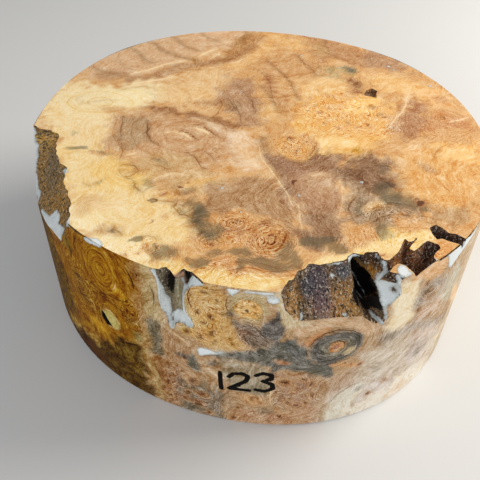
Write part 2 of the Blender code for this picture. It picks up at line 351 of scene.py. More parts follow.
# Forked void: its outline in the wall, and the cut-back of its edge in the face.
FORK_OUTLINE = (
    (-21.9, -9), (-21.2, 0), (-20.3, 2.6), (-19.7, 5.2), (-19.7, 10), (-19.9, 15.5),
    (-19.5, 19.3), (-18.5, 22.1), (-18.3, 26), (-17.6, 28.7), (-17, 27.3), (-16.3, 25),
    (-15.3, 23.8), (-14.5, 24.3), (-13.6, 25.6), (-12.7, 24.4), (-12.9, 22.2), (-13.6, 19.3),
    (-14.4, 17.3), (-14.5, 14.3), (-14.3, 10.2), (-13.8, 7), (-13, 4.2), (-11.9, 2.3),
    (-10.3, 0.9), (-9.6, 0), (-9, -9),
)
FORK_EDGE = (
    (-22, -1), (-21.2, 0.3), (-19.8, 0.9), (-19.2, 2.2), (-18.6, 2.9), (-17.7, 2.2),
    (-16.6, 1.4), (-16.1, 0.6), (-15.7, 3.4), (-15.2, 4.6), (-14, 3.8), (-13.1, 3.7),
    (-11.9, 4.6), (-11.1, 3.8), (-10.3, 2.3), (-9.6, 0.4), (-9, -1),
)
FORK_TONGUE_AT = -16.1
FORK_FLANK = 1.35
# Pits in the sawn face, as x and y, and the slit in the wall.
ROUGH_PIT = (
    (36.8, -82.5), (37.7, -80), (39.1, -77.9), (41.8, -77.7), (43.4, -77.5), (44.2, -80.3),
    (45.4, -81.5), (46.9, -81.5), (48, -80.3), (50.7, -77.1), (51.9, -74.8), (54, -69.8),
    (55.2, -71.6), (57.2, -70.8), (58.6, -68), (58.3, -70.2), (56, -73), (54.8, -75.2),
    (56.3, -76.2), (58, -74.8), (60, -72.4), (62.1, -70.5), (65.8, -72.4), (66.1, -74.3),
    (63.8, -76.6), (62.8, -78.9), (63.4, -80.6), (57.6, -86.3), (56.4, -90), (54.2, -86.4),
    (52.3, -83.7), (50, -82.8), (48, -84.4), (45.8, -88), (42, -91), (38, -89),
)
TRENCH = (
    (64, -63.4), (66.5, -61.6), (68.7, -63.1), (70.6, -65.8), (73.6, -66.4), (76.5, -68.9),
    (80, -72), (77.5, -75.5), (73.6, -71.8), (69.6, -70.2), (67.7, -69), (65.6, -69.6),
    (64.5, -66.7),
)
KNOT_HOLE = ((49.2, 31.6), (50.6, 36.0), (53.8, 38.6), (56.4, 36.2), (54.2, 30.0))
SLIT = ((-38.0, 38.6), (-37.0, 39.6), (-36.2, 42.6), (-34.9, 45.6), (-36.9, 46.2), (-38.2, 43.0))

# %% Rules for the bark surfaces
CLEAR = 6.0
OUTSIDE = 1.2


def smooth_step(value):
    """Eases a number from 0 to 1, and holds it there outside."""
    value = min(max(value, 0.0), 1.0)
    return value * value * (3.0 - 2.0 * value)


def read_row(table, at, column):
    """Value in a table sorted by its first column, eased between its rows."""
    if at <= table[0][0]:
        return table[0][column]
    for before, after in zip(table, table[1:]):
        if at <= after[0]:
            share = smooth_step((at - before[0]) / (after[0] - before[0]))
            return before[column] + (after[column] - before[column]) * share
    return table[-1][column]


def depth_inside(outline, x, y, scale_x=1.0):
    """Distance to an outline, positive inside it, for one point or for arrays of x and y."""
    x, y = np.asarray(x, float) * scale_x, np.asarray(y, float)
    nearest = np.full(np.broadcast(x, y).shape, 1e9)
    inside = np.zeros(nearest.shape, bool)
    corners = [(px * scale_x, py) for px, py in outline]
    for (ax, ay), (bx, by) in zip(corners, corners[1:] + corners[:1]):
        edge_x, edge_y = bx - ax, by - ay
        share = ((x - ax) * edge_x + (y - ay) * edge_y) / (edge_x * edge_x + edge_y * edge_y)
        share = np.clip(share, 0.0, 1.0)
        nearest = np.minimum(nearest, np.hypot(x - ax - edge_x * share, y - ay - edge_y * share))
        if edge_y:
            crossed = ((ay > y) != (by > y)) & (x < ax + (y - ay) * edge_x / edge_y)
            inside ^= crossed
    return np.where(inside, nearest, -nearest)


def bark(point, height, pins):
    """Bark relief in millimetres: lumps, sharper pins between them, and fine grains on both."""
    lump = noise.noise(point / (pins * 2.3))
    pin = noise.noise(point / pins + Vector((7.1, 3.3, 1.9)))
    grain = noise.noise(point / (pins * 0.38) + Vector((1.7, 9.2, 4.4)))
    return height * (0.6 * lump + 0.7 * pin + 0.32 * grain)


def left_void_inset(azimuth, below, within):
    """Left void: a scoop that leans out from its edge in the face down to its lip."""
    cut_back = read_row(LEFT_VOID, azimuth, 1)
    lip = read_row(LEFT_VOID, azimuth, 2)
    if cut_back <= 0.0 or lip <= 0.0:
        return -OUTSIDE
    down = max(below, 0.0) / lip
    relief = bark(on_wall(azimuth, max(below, 0.0)), 1.1, 3.1) * smooth_step(4.0 * (1.0 - down))
    if down < 1.0:
        return cut_back * (1.0 - down**1.25) + relief * min(1.0, cut_back / 3.0)
    return max(-OUTSIDE, -cut_back * (down - 1.0) * 2.0)


def front_void_inset(azimuth, below, within):
    """Front void: a sloping bark wall, a groove in it, and a deep cavity at its right."""
    if within < 0.0:
        return max(-OUTSIDE, within)
    cut_back = read_row(FRONT_EDGE, azimuth, 1)
    floor_at = 14.0 + 9.0 * smooth_step((azimuth - 21.5) / 5.0)
    down = max(below, 0.0)
    slope = cut_back * max(0.0, 1.0 - (down / floor_at) ** 1.2)
    away = (azimuth - FRONT_CAVITY_AT) / FRONT_CAVITY_WIDTH
    cavity = math.exp(-(away**4)) * smooth_step(down / 6.0)
    groove = math.exp(-(((azimuth - FRONT_GROOVE_AT) / 0.7) ** 2)) * smooth_step(down / 5.0)
    relief = bark(on_wall(azimuth, down), 1.3, 3.4) + 1.6 * groove
    inset = slope + 0.5 + relief * min(1.0, within / 2.0)
    inset += (FRONT_CAVITY_DEPTH - inset) * cavity
    curtain = smooth_step((azimuth - 24.2) / 2.6)
    flank = FRONT_FLANK + (CURTAIN_FLANK - FRONT_FLANK) * curtain
    return min(flank * within + 5.0 * curtain * max(0.0, within - CURTAIN_WIDTH), inset)


def fork_void_inset(azimuth, below, within):
    """Forked void: a narrow pocket with a bark tongue hanging down in its middle."""
    if within < 0.0:
        return max(-OUTSIDE, within)
    down = max(below, 0.0)
    edge = read_row(FORK_EDGE, azimuth, 1)
    inner = 8.0 - 5.0 * smooth_step((down - 12.0) / 15.0)
    inset = edge + (inner - edge) * smooth_step(down / 3.5)
    tongue = math.exp(-(((azimuth - FORK_TONGUE_AT) / 0.75) ** 2)) * (1.0 - smooth_step(down / 7.5))
    inset -= 0.85 * tongue * max(0.0, inset - 0.6)
    inset += bark(on_wall(azimuth, down), 0.5, 3.0) * min(1.0, within / 2.0)
    return min(FORK_FLANK * within, inset)


def slit_inset(azimuth, below, within):
    """Slit: a small straight-sided crack."""
    return max(-OUTSIDE, within) if within < 0.0 else min(2.5 * within, 3.0)


# %% [markdown]
# ## Cutting the voids
#
# A cutter is closed: one sheet lies on the bark, the other clear of the disc. Pushing the disc's own
# points inwards would smear the skin over the sharp edges of the voids, and a Boolean keeps them crisp.

# %% Cutters
def link_cutter(name, bm):
    """Makes an object of a closed bmesh, with its faces pointing out."""
    bmesh.ops.recalc_face_normals(bm, faces=bm.faces)
    if bm.calc_volume(signed=True) < 0.0:
        bmesh.ops.reverse_faces(bm, faces=bm.faces)
    mesh = bpy.data.meshes.new(name)
    bm.to_mesh(mesh)
    bm.free()
    cutter = bpy.data.objects.new(name, mesh)
    bpy.context.scene.collection.objects.link(cutter)
    return cutter


def sheet_cutter(name, across, down, spacing, inner, outer):
    """Closed solid between two sheets over a range of two coordinates, spacing apart."""
    columns = round((across[1] - across[0]) * across[2] / spacing)
    rows = round((down[1] - down[0]) / spacing)
    bm = bmesh.new()
    bmesh.ops.create_grid(bm, x_segments=columns, y_segments=rows, size=0.5)
    first = list(bm.verts)
    made = bmesh.ops.extrude_face_region(bm, geom=bm.faces[:])
    second = [item for item in made["geom"] if isinstance(item, bmesh.types.BMVert)]
    for verts, sheet in ((first, inner), (second, outer)):
        u = [across[0] + (across[1] - across[0]) * (vert.co.x + 0.5) for vert in verts]
        v = [down[0] + (down[1] - down[0]) * (vert.co.y + 0.5) for vert in verts]
        for vert, place in zip(verts, sheet(u, v)):
            vert.co = (place - TO_CENTRE) * MM
    return link_cutter(name, bm)


def wall_cutter(name, span, drop, spacing, outline, inset):
    """Cutter for a void in the wall: span is two angles, drop two depths below the face."""

    def inner(azimuths, depths):
        within = depth_inside(outline, azimuths, depths, DEGREE) if outline else np.zeros(len(depths))
        return [
            on_wall(azimuth, below, inset(azimuth, below, inside))
            for azimuth, below, inside in zip(azimuths, depths, within.tolist())
        ]

    def outer(azimuths, depths):
        return [on_wall(azimuth, below, -CLEAR) for azimuth, below in zip(azimuths, depths)]

    return sheet_cutter(name, (*span, DEGREE), drop, spacing, inner, outer)


def face_cutter(name, outline, spacing, slope, most, rough):
    """Cutter for a pit in the sawn face."""
    columns, rows = zip(*outline)
    across = (min(columns) - OUTSIDE, max(columns) + OUTSIDE, 1.0)
    down = (min(rows) - OUTSIDE, max(rows) + OUTSIDE)

    def depth(x, y, within):
        if within < 0.0:
            return max(-OUTSIDE, within * 1.5)
        relief = bark(Vector((x, y, 0.0)), rough, 2.6) * min(1.0, within)
        return max(0.3 * min(1.0, within), min(slope * within, most) + relief)

    def inner(xs, ys):
        within = depth_inside(outline, xs, ys).tolist()
        return [
            Vector((x, y, THICKNESS - depth(x, y, inside))) for x, y, inside in zip(xs, ys, within)
        ]

    def outer(xs, ys):
        return [Vector((x, y, THICKNESS + CLEAR)) for x, y in zip(xs, ys)]

    return sheet_cutter(name, across, down, spacing, inner, outer)


def undercut_cutter():
    """Lumpy hollow behind the waxed flank of the front void."""
    azimuth, below, inset = UNDERCUT_AT
    middle = on_wall(azimuth, below, inset)
    bm = bmesh.new()
    bmesh.ops.create_icosphere(bm, subdivisions=4, radius=1.0)
    turn = Matrix.Rotation(math.radians(azimuth), 3, "Z")
    for vert in bm.verts:
        lump = 1.0 + 0.16 * noise.noise(vert.co * 2.1) + 0.04 * noise.noise(vert.co * 6.7)
        sized = Vector(size * part for size, part in zip(UNDERCUT_SIZE, vert.co)) * lump
        vert.co = (middle + turn @ sized - TO_CENTRE) * MM
    return link_cutter("undercut", bm)


# %% Cut the voids
cutters = (
    wall_cutter("left_void", (-88.0, -43.0), (-5.0, 23.0), 0.7, None, left_void_inset),
    wall_cutter("front_void", (3.8, 31.6), (-5.0, 25.0), 0.55, FRONT_OUTLINE, front_void_inset),
    undercut_cutter(),
    wall_cutter("fork_void", (-23.0, -8.4), (-4.0, 30.0), 0.5, FORK_OUTLINE, fork_void_inset),
    wall_cutter("slit", (-39.4, -33.8), (37.0, 48.0), 0.5, SLIT, slit_inset),
    face_cutter("rough_pit", ROUGH_PIT, spacing=0.55, slope=2.1, most=7.5, rough=1.1),
    face_cutter("trench", TRENCH, spacing=0.55, slope=1.8, most=3.4, rough=0.7),
    face_cutter("knot_hole", KNOT_HOLE, spacing=0.5, slope=1.2, most=1.8, rough=0.2),
)
bpy.ops.object.select_all(action="DESELECT")
burl.select_set(True)
bpy.context.view_layer.objects.active = burl
for cutter in cutters:
    cut = burl.modifiers.new(cutter.name, "BOOLEAN")
    cut.operation = "DIFFERENCE"
    cut.solver = "MANIFOLD"
    cut.object = cutter
    before = len(burl.data.polygons)
    bpy.ops.object.modifier_apply(modifier=cut.name)
    print(cutter.name, "faces before and after:", before, len(burl.data.polygons))
    bpy.data.objects.remove(cutter, do_unlink=True)
burl.data.calc_loop_triangles()
print("burl with its voids:", len(burl.data.loop_triangles), "triangles")

# %% [markdown]
# ## What each face of the skin is
#
# The sawn face, the sawn wall, the underside and the bark in the voids are four surfaces of one body.
# Each face of the mesh is sorted by where it lies: in the plane of the sawn face, on the out-of-round
# outline, in the plane below, or anywhere else, which is bark.

# %% Sort the faces
SAWN_FACE, WALL, UNDERSIDE, BARK = range(4)
point_count = len(burl.data.vertices)
flat = np.empty(point_count * 3)
burl.data.vertices.foreach_get("co", flat)
points = flat.reshape(-1, 3) / MM + np.array([CENTRE_X, CENTRE_Y, 0.0])
x, y, height = points.T
azimuth = np.degrees(np.arctan2(x, -y))
below = THICKNESS - height
around = azimuth * DEGREE
inset = wall_radius(azimuth) - np.hypot(x, y)

face_count = len(burl.data.polygons)
centres = np.empty(face_count * 3)
burl.data.polygons.foreach_get("center", centres)
centres = centres.reshape(-1, 3) / MM + np.array([CENTRE_X, CENTRE_Y, 0.0])
normals = np.empty(face_count * 3)
burl.data.polygons.foreach_get("normal", normals)
normals = normals.reshape(-1, 3)
centre_azimuth = np.degrees(np.arctan2(centres[:, 0], -centres[:, 1]))
centre_inset = wall_radius(centre_azimuth) - np.hypot(centres[:, 0], centres[:, 1])
IN_PLANE = 0.02
ON_OUTLINE = 0.05
surface = np.full(face_count, BARK)
surface[(centre_inset < ON_OUTLINE) & (abs(normals[:, 2]) < 0.2)] = WALL
surface[(centres[:, 2] > THICKNESS - IN_PLANE) & (normals[:, 2] > 0.99)] = SAWN_FACE
surface[centres[:, 2] < IN_PLANE] = UNDERSIDE
arris = (centre_inset < SAWN_ARRIS) & (surface == BARK)
arris &= abs(abs(normals[:, 2]) - math.sqrt(0.5)) < 0.02
surface[arris] = WALL
burl.data.materials.clear()
burl.data.polygons.foreach_set("material_index", surface.astype(np.int32))
print("faces of each surface:", np.bincount(surface))

# %% [markdown]
# ## Painting tools
#
# The figure is painted on the points of the skin from named features, each with its place and size in
# millimetres, as a grain painter would lay it in: broad tones first, then swirls, stains and eyes. All
# places are first pushed about by a smooth noise, so that no feature has a drawn edge. The soft tones
# become a colour attribute. Stains, rings and lace become mask attributes, which the material later
# breaks up into sharp detail much finer than the skin's own points. Noise alone would make some burl,
# but not this one.

# %% Painting tools
EDGES = np.array(
    [(1, 1, 0), (-1, 1, 0), (1, -1, 0), (-1, -1, 0), (1, 0, 1), (-1, 0, 1),
     (1, 0, -1), (-1, 0, -1), (0, 1, 1), (0, -1, 1), (0, 1, -1), (0, -1, -1)], float
)


def ripple(places, size, seed=0):
    """Smooth gradient noise, about -1 to 1, with lumps of a size in millimetres, for many points."""
    scaled = np.asarray(places, float) / size + 13.7 * seed
    cell = np.floor(scaled).astype(np.int64)
    part = scaled - cell
    ease = part**3 * (part * (part * 6.0 - 15.0) + 10.0)
    total = np.zeros(len(scaled))
    for corner in ((i, j, k) for i in (0, 1) for j in (0, 1) for k in (0, 1)):
        at = cell + corner
        mixed = (at[:, 0] * 73856093) ^ (at[:, 1] * 19349663) ^ (at[:, 2] * 83492791)
        mixed = (mixed * (mixed * mixed * 15731 + 789221) + 1376312589) & 0x7FFFFFFF
        slope = EDGES[(mixed >> 8) % 12]
        weight = np.prod(np.where(np.array(corner), ease, 1.0 - ease), axis=1)
        total += weight * np.sum(slope * (part - corner), axis=1)
    return 1.5 * total


def ease_between(low_end, high_end, value):
    """Smooth ramp of an array, 0 at the low end and 1 at the high end."""
    share = np.clip((value - low_end) / (high_end - low_end), 0.0, 1.0)
    return share * share * (3.0 - 2.0 * share)


# %% A skin to paint on
# The masks of the paint, by the attribute that carries three of them.
PAINT = {
    "stain": ("grey", "umber_and_shade", "lace"),
    "figure": ("ring", "ring_strength", "curl"),
    "line": ("line_away", "line_shown", "line_kind"),
}

# Lumps of the noise that pushes places about, in millimetres.
SLOW = 16.0
QUICK = 6.5
SMALL = 2.8


class Skin:
    """One sawn surface laid flat: two coordinates in millimetres and what is painted on them."""

    def __init__(self, u, v, seed, ground, lean=60.0, loose=1.0, places=None, behind=0.0):
        flat = np.stack([u, v, np.full(len(u), 5.0 * seed)], 1) if places is None else places
        slow = [ripple(flat, SLOW, seed + part) for part in (0, 1)]
        quick = [ripple(flat, QUICK, seed + part) for part in (2, 3)]
        small = [ripple(flat, SMALL, seed + part) for part in (4, 5)]
        self.u = u + loose * (2.6 * slow[0] + 1.5 * quick[0] + 0.8 * small[0])
        self.v = v + loose * (2.6 * slow[1] + 1.5 * quick[1] + 0.8 * small[1])
        self.calm_u = u + loose * (0.9 * slow[0] + 0.3 * quick[0])
        self.calm_v = v + loose * (0.9 * slow[1] + 0.3 * quick[1])
        self.grain_u = self.u * (1.0 - behind)
        self.flow = self.grain_u * math.sin(math.radians(lean)) - self.v * math.cos(math.radians(lean))
        self.flow += 14.0 * ripple(flat, 48.0, seed + 6) + 5.0 * ripple(flat, 17.0, seed + 7)
        self.ragged = 0.9 * ripple(flat, 9.0, seed + 8) + 0.7 * ripple(flat, 3.8, seed + 9)
        self.ragged += 0.5 * small[1]
        self.tint = np.tile(np.array(to_linear(ground)[:3]), (len(u), 1))
        self.masks = {name: np.zeros(len(u)) for names in PAINT.values() for name in names}

    def spot(self, u, v, half_u, half_v, turn=0.0, soft=0.5):
        """Mask of an ellipse with a soft edge. The edge's width is a share of its size."""
        angle = math.radians(turn)
        du, dv = self.u - u, self.v - v
        along = (du * math.cos(angle) + dv * math.sin(angle)) / half_u
        across = (-du * math.sin(angle) + dv * math.cos(angle)) / half_v
        return ease_between(1.0 + soft, 1.0 - soft, np.hypot(along, across))

    def area(self, outline, edge, scale=1.0):
        """Mask of an outlined area. Its edge fades over some millimetres each way."""
        corners = [(pu * scale, pv) for pu, pv in outline]
        mid_u, mid_v = (self.u + self.calm_u) / 2.0, (self.v + self.calm_v) / 2.0
        within = depth_inside(corners, mid_u, mid_v) + 1.1 * edge * self.ragged
        return ease_between(-edge, edge, within)

    def swirl(self, u, v, size, squash=1.0, strength=1.0):
        """Bends the flow of the fibres into rings round a place."""
        away = np.hypot(self.calm_u - u, (self.calm_v - v) * squash)
        share = np.exp(-((away / size) ** 2)) * strength
        self.flow = self.flow * (1.0 - share) + away * share

    def follow(self, route):
        """Signed distance to a route, the length walked along it, and its whole length."""
        nearest = np.full(len(self.u), 1e9)
        side = np.ones(len(self.u))
        reach = np.zeros(len(self.u))
        walked = 0.0
        for (au, av), (bu, bv) in zip(route, route[1:]):
            length = math.hypot(bu - au, bv - av)
            step_u, step_v = (bu - au) / length, (bv - av) / length
            du, dv = self.calm_u - au, self.calm_v - av
            share = np.clip(du * step_u + dv * step_v, 0.0, length)
            gap = np.hypot(du - step_u * share, dv - step_v * share)
            closer = gap < nearest
            nearest = np.where(closer, gap, nearest)
            side = np.where(closer, np.where(du * step_v - dv * step_u < 0.0, -1.0, 1.0), side)
            reach = np.where(closer, walked + share, reach)
            walked += length
        return nearest * side, reach, walked

    def line(self, route, width, tail=0.0):
        """Mask of a soft line through points. Its ends fade over the tail, in millimetres."""
        away, reach, walked = self.follow(route)
        mask = np.exp(-((away / width) ** 2))
        if tail:
            mask *= ease_between(0.0, tail, reach) * ease_between(0.0, tail, walked - reach)
        return mask

    def draw(self, route, width, kind, strength=1.0, tail=4.0):
        """A line finer than the skin's points: its distance is stored, and the material draws it."""
        away, reach, walked = self.follow(route)
        ends = ease_between(-0.5, tail, reach) * ease_between(-0.5, tail, walked - reach)
        width = width * (0.35 + 0.75 * np.sin(np.pi * np.clip(reach / walked, 0.0, 1.0)))
        shown = np.exp(-((away / (width + 1.5)) ** 2)) * ends * strength
        wins = shown > self.masks["line_shown"]
        for name, value in (("line_away", away / width), ("line_shown", shown), ("line_kind", kind)):
            self.masks[name] = np.where(wins, value, self.masks[name])

    def patch(self, outline, scale=1.0):
        """Distance inside an outline in millimetres, negative outside it."""
        return depth_inside([(pu * scale, pv) for pu, pv in outline], self.calm_u, self.calm_v)

    def tone(self, colour, mask, strength=1.0):
        """Lays a tone over the soft colour."""
        share = (np.clip(mask, 0.0, 1.0) * strength)[:, None]
        self.tint = self.tint * (1.0 - share) + np.array(to_linear(colour)[:3]) * share

    def add(self, name, mask, strength=1.0):
        """Adds to one of the masks."""
        self.masks[name] = np.maximum(self.masks[name], np.clip(mask, 0.0, 1.0) * strength)

    def take(self, name, mask, strength=1.0):
        """Takes away from one of the masks."""
        self.masks[name] = self.masks[name] * (1.0 - np.clip(mask, 0.0, 1.0) * strength)

    def rings(self, u, v, spacing, mask, strength=1.0, squash=1.0, turn=0.0):
        """Growth rings round a middle, where a mask allows them. The strongest family wins."""
        angle = math.radians(turn)
        du, dv = self.calm_u - u, self.calm_v - v
        along = du * math.cos(angle) + dv * math.sin(angle)
        across = (-du * math.sin(angle) + dv * math.cos(angle)) * squash
        value = np.hypot(along, across) / spacing
        strength = np.clip(mask, 0.0, 1.0) * strength
        wins = strength > self.masks["ring_strength"]
        self.masks["ring"] = np.where(wins, value, self.masks["ring"])
        self.masks["ring_strength"] = np.where(wins, strength, self.masks["ring_strength"])

    def eye(self, u, v, size, colour="#8E5428", strength=0.8):
        """One burl eye: a pale ring, fine growth rings and a dark pith."""
        self.swirl(u, v, size * 1.4)
        self.tone("#E6B066", self.spot(u, v, size, size * 0.9, soft=0.4), 0.5 * strength)
        self.tone(colour, self.spot(u, v, size * 0.45, size * 0.4, soft=0.8), 0.8 * strength)
        self.tone("#4A2A16", self.spot(u, v, size * 0.14, size * 0.14, soft=0.9), strength)
        self.rings(u, v, 1.7, self.spot(u, v, size * 1.1, size, soft=0.4), 0.6 * strength)

    def dots(self, table, pale="#DDB070", dark="#6E3E1E"):
        """Small burl eyes: a pale border round a dark reddish pith. Rows are place and size."""
        for u, v, size in table:
            self.tone(pale, self.spot(u, v, size * 1.7, size * 1.6, soft=0.4), 0.5)
            self.tone(dark, self.spot(u, v, size * 0.75, size * 0.7, soft=0.7), 0.85)


print("masks:", PAINT)

# %% [markdown]
# ## The figure of the sawn face
#
# Places are x and y in millimetres from the middle of the face. At the back left the wood is quiet: a
# pinkish tan crossed by faint growth rings and a few bright rays. The left is cream sapwood. A swirl
# turns left of the middle, where a crotch of two stems was, with a pale ridge and a dark fissure that
# run from it to the front. The right middle is gold burl full of eyes, and mauve-brown heart and
# grey spalt stains lie along the front.

# %% Broad tones of the sawn face
face = Skin(x, y, 1, "#D6A66E")
FACE_AREAS = (
    ("#D6AE84", 4, ((-96, 44), (-80, 39), (-68, 40), (-48, 54), (-30, 68), (-16, 80), (-6, 100),
     (-62, 86), (-88, 64))),
    ("#DCB389", 4, ((-50, 92), (-20, 84), (-8, 100), (-40, 100))),
    ("#BA8E63", 1.6, ((-69, 39), (-56, 46), (-44, 55), (-34, 60), (-20, 66), (-22, 57), (-38, 54),
     (-43, 46), (-54, 38), (-67, 33))),
    ("#B9854F", 3, ((-26, 62), (-16, 78), (-10, 98), (2, 96), (-2, 82), (-10, 68), (-20, 57))),
    ("#E2B273", 2.5, ((-20, 56), (-8, 64), (-2, 78), (2, 98), (12, 98), (4, 78), (-2, 62), (-12, 54))),
    ("#F2DBA9", 5, ((-100, 34), (-70, 32), (-46, 40), (-42, 24), (-56, 12), (-72, -2), (-100, -8))),
    ("#F5E0AF", 3, ((-70, 30), (-52, 28), (-48, 18), (-60, 12), (-72, 18))),
    ("#E4BD88", 5, ((-46, 42), (-24, 54), (-14, 44), (-20, 26), (-26, 12), (-46, 20))),
    ("#CFA06C", 4, ((-2, 60), (14, 74), (30, 66), (34, 50), (22, 46), (6, 44))),
    ("#E0B070", 3, ((8, 92), (26, 90), (28, 78), (8, 78))),
    ("#BD8D60", 4, ((24, 96), (60, 78), (80, 54), (62, 56), (46, 62), (26, 72))),
    ("#B88F6A", 4, ((56, 80), (74, 62), (66, 56), (56, 62))),
    ("#E6B97A", 4, ((48, 54), (70, 52), (86, 40), (80, 26), (68, 32), (54, 42))),
    ("#EBC48A", 4, ((18, 44), (38, 46), (40, 34), (26, 28), (16, 32))),
    ("#B59C6C", 3.4, ((30, 58), (38, 60), (48, 58), (44, 54), (38, 49), (31, 50))),
    ("#96866A", 1.8, ((40, 59), (46, 60), (48, 57), (42, 55))),
    ("#B88F6A", 4, ((-16, 44), (-6, 42), (2, 24), (3, 4), (-7, 0), (-15, 8), (-20, 24), (-19, 36))),
    ("#A5815F", 2.4, ((-17, 20), (-12, 20), (-9, 10), (-14, 9))),
    ("#F1D49E", 4, ((-100, 12), (-68, 10), (-63, -4), (-63, -20), (-74, -34), (-84, -20), (-92, -8))),
    ("#CBA074", 3, ((-64, 6), (-48, 10), (-32, 8), (-16, 2), (-10, -20), (-18, -34), (-36, -28),
     (-52, -24), (-66, -22))),
    ("#B8966E", 3, ((-60, 2), (-50, 3), (-48, -14), (-52, -22), (-60, -20))),
    ("#A8784E", 1.4, ((-56, 12), (-44, 13.5), (-34, 11), (-20, 7), (-6, 1), (-12, -1), (-24, 4), (-36, 8),
     (-48, 9))),
    ("#E7C69E", 2.5, ((-21, -2), (-8, -4), (-1, -10), (-3, -20), (0, -34), (-7, -32), (-12, -20),
     (-15, -10))),
    ("#F0D297", 5, ((-88, -12), (-66, -25), (-54, -32), (-40, -46), (-26, -62), (-22, -80), (-46, -88),
     (-72, -72), (-82, -40))),
    ("#CDA673", 3, ((-56, -31), (-46, -25), (-32, -22), (-18, -33), (-12, -46), (-22, -52), (-36, -46),
     (-48, -42))),
    ("#EDC67C", 2.5, ((-70, -36), (-60, -28), (-50, -34), (-44, -44), (-50, -50), (-62, -44))),
    ("#B08860", 2.5, ((-18, -42), (-4, -36), (6, -38), (14, -52), (17, -72), (8, -66), (-4, -60),
     (-14, -58), (-22, -66))),
    ("#A87E5C", 3, ((2, -22), (24, -20), (34, -20), (33, -60), (30, -74), (19, -76), (15, -56),
     (9, -40))),
    ("#976F4E", 3.2, ((14, -22), (24, -16), (34, -17), (35, -30), (29, -32), (20, -30))),
    ("#9B7655", 3.2, ((17, -58), (26, -56), (32, -62), (31, -73), (22, -77), (17, -72))),
    ("#876348", 3.6, ((34, -20), (44, -17), (52, -19), (56, -24), (55, -33), (58, -41), (50, -46),
     (40, -46), (35, -36))),
    ("#A88B6C", 2.5, ((35, -38), (48, -44), (56, -46), (62, -56), (50, -62), (38, -66), (33, -56))),
    ("#E9B970", 3, ((20, 26), (32, 32), (50, 31), (61, 27), (62, 16), (58, 2), (48, -14), (40, -18),
     (30, -16), (22, -4), (14, 2), (17, 14))),
    ("#F3CB7E", 2, ((38, 27), (54, 26), (52, 17), (40, 18))),
    ("#DDAA64", 1.2, ((8, -9), (14, -5), (22, -7), (25, -15), (21, -24), (14, -25), (9, -18))),
    ("#F2CF92", 2, ((23, -6), (32, -5), (41, -6), (40, -13), (28, -15))),
    ("#DEAA68", 3, ((62, -12), (76, -9), (98, -2), (92, -30), (82, -54), (68, -52), (58, -42),
     (60, -24))),
    ("#EDC484", 3, ((76, -10), (92, -8), (92, -20), (78, -20))),
    ("#B2815A", 3, ((58, 2), (63, 10), (68, 20), (70, 30), (77, 26), (77, 12), (70, -2), (62, -8))),
    ("#C98F5A", 3, ((76, 4), (96, 4), (94, 16), (84, 20), (77, 16))),
    ("#E6B880", 3, ((80, 22), (94, 18), (88, 36), (80, 38))),
    ("#B78E60", 2.6, ((60, -48), (72, -52), (84, -48), (80, -60), (66, -60))),
    ("#F0D496", 1.6, ((-44, -86), (-20, -89), (-2, -93), (14, -92), (23, -83), (36, -77), (50, -66),
     (62, -66), (66, -72), (50, -80), (36, -82), (0, -102), (-46, -92))),
    ("#DBA364", 1.2, ((60, -70), (66, -70), (72, -72), (76, -76), (66, -82), (62, -78))),
    ("#F4D9A4", 1.5, ((-72, -60), (-69, -70), (-58, -76), (-60, -70), (-68, -60))),
    ("#F6E0B0", 2.2, ((-76, -62), (-62, -76), (-42, -90), (-34, -86), (-50, -72), (-66, -57))),
    ("#C08B54", 2, ((-2, -68), (4, -66), (10, -67), (12, -76), (8, -82), (0, -82), (-3, -75))),
    ("#B9804C", 1.5, ((-13, -62), (-8, -60), (-4, -64), (-6, -72), (-12, -72))),
)
FACE_AREA_STRENGTH = 0.92
SPOT_STRENGTH = 0.7
for tone, edge, outline in FACE_AREAS:
    face.tone(tone, face.area(outline, edge), FACE_AREA_STRENGTH)
for tone, u, v, half_u, half_v, turn in (
    ("#B58A62", -74, 43, 12, 4, -20), ("#E8BE83", -36, 26, 9, 5, 0), ("#B98A5A", -22, 20, 9, 3, 0),
    ("#D2A36C", -66, 10, 9, 3, 0), ("#F2D9A6", -82, 8, 9, 7, 0), ("#EFCB84", -56, -45, 12, 4, 30),
    ("#F3DCAA", -56, -62, 8, 3, 20), ("#D9AE74", -64, -58, 7, 3, 50), ("#C79A66", -54, -72, 5, 3, 20),
    ("#E3B36A", -24, -44, 9, 3, 25), ("#8E6A4A", -28, -48, 5, 1.6, 20), ("#A87A4C", -32, -45, 4, 2, 70),
    ("#C8A27C", 24, -42, 6, 9, 10), ("#9C7458", 13, -30, 4, 6, 30), ("#DDB98E", 24, -34, 4, 2, 30),
    ("#B98A56", 46, 42, 4, 6, 0), ("#8A5A38", 45, 44, 2, 3, 0), ("#E8BE88", 66, -14, 3.5, 4, 20),
    ("#B08058", 70, -26, 3, 6, 30), ("#D39A58", 76, -42, 4, 8, 40), ("#C48E5C", 86, 30, 3, 5, 0),
    ("#B7855A", 4, 40, 2, 12, 10), ("#C08F5E", 10, 22, 3, 12, 0), ("#E9BE80", 4, 12, 5, 8, 0),
    ("#B58652", 56, -36, 3, 3, 0), ("#E4C08A", 47, -52, 5, 3, 0), ("#CBA36C", 30, 80, 3, 8, 0),
):
    face.tone(tone, face.spot(u, v, half_u, half_v, turn, 0.6), SPOT_STRENGTH)

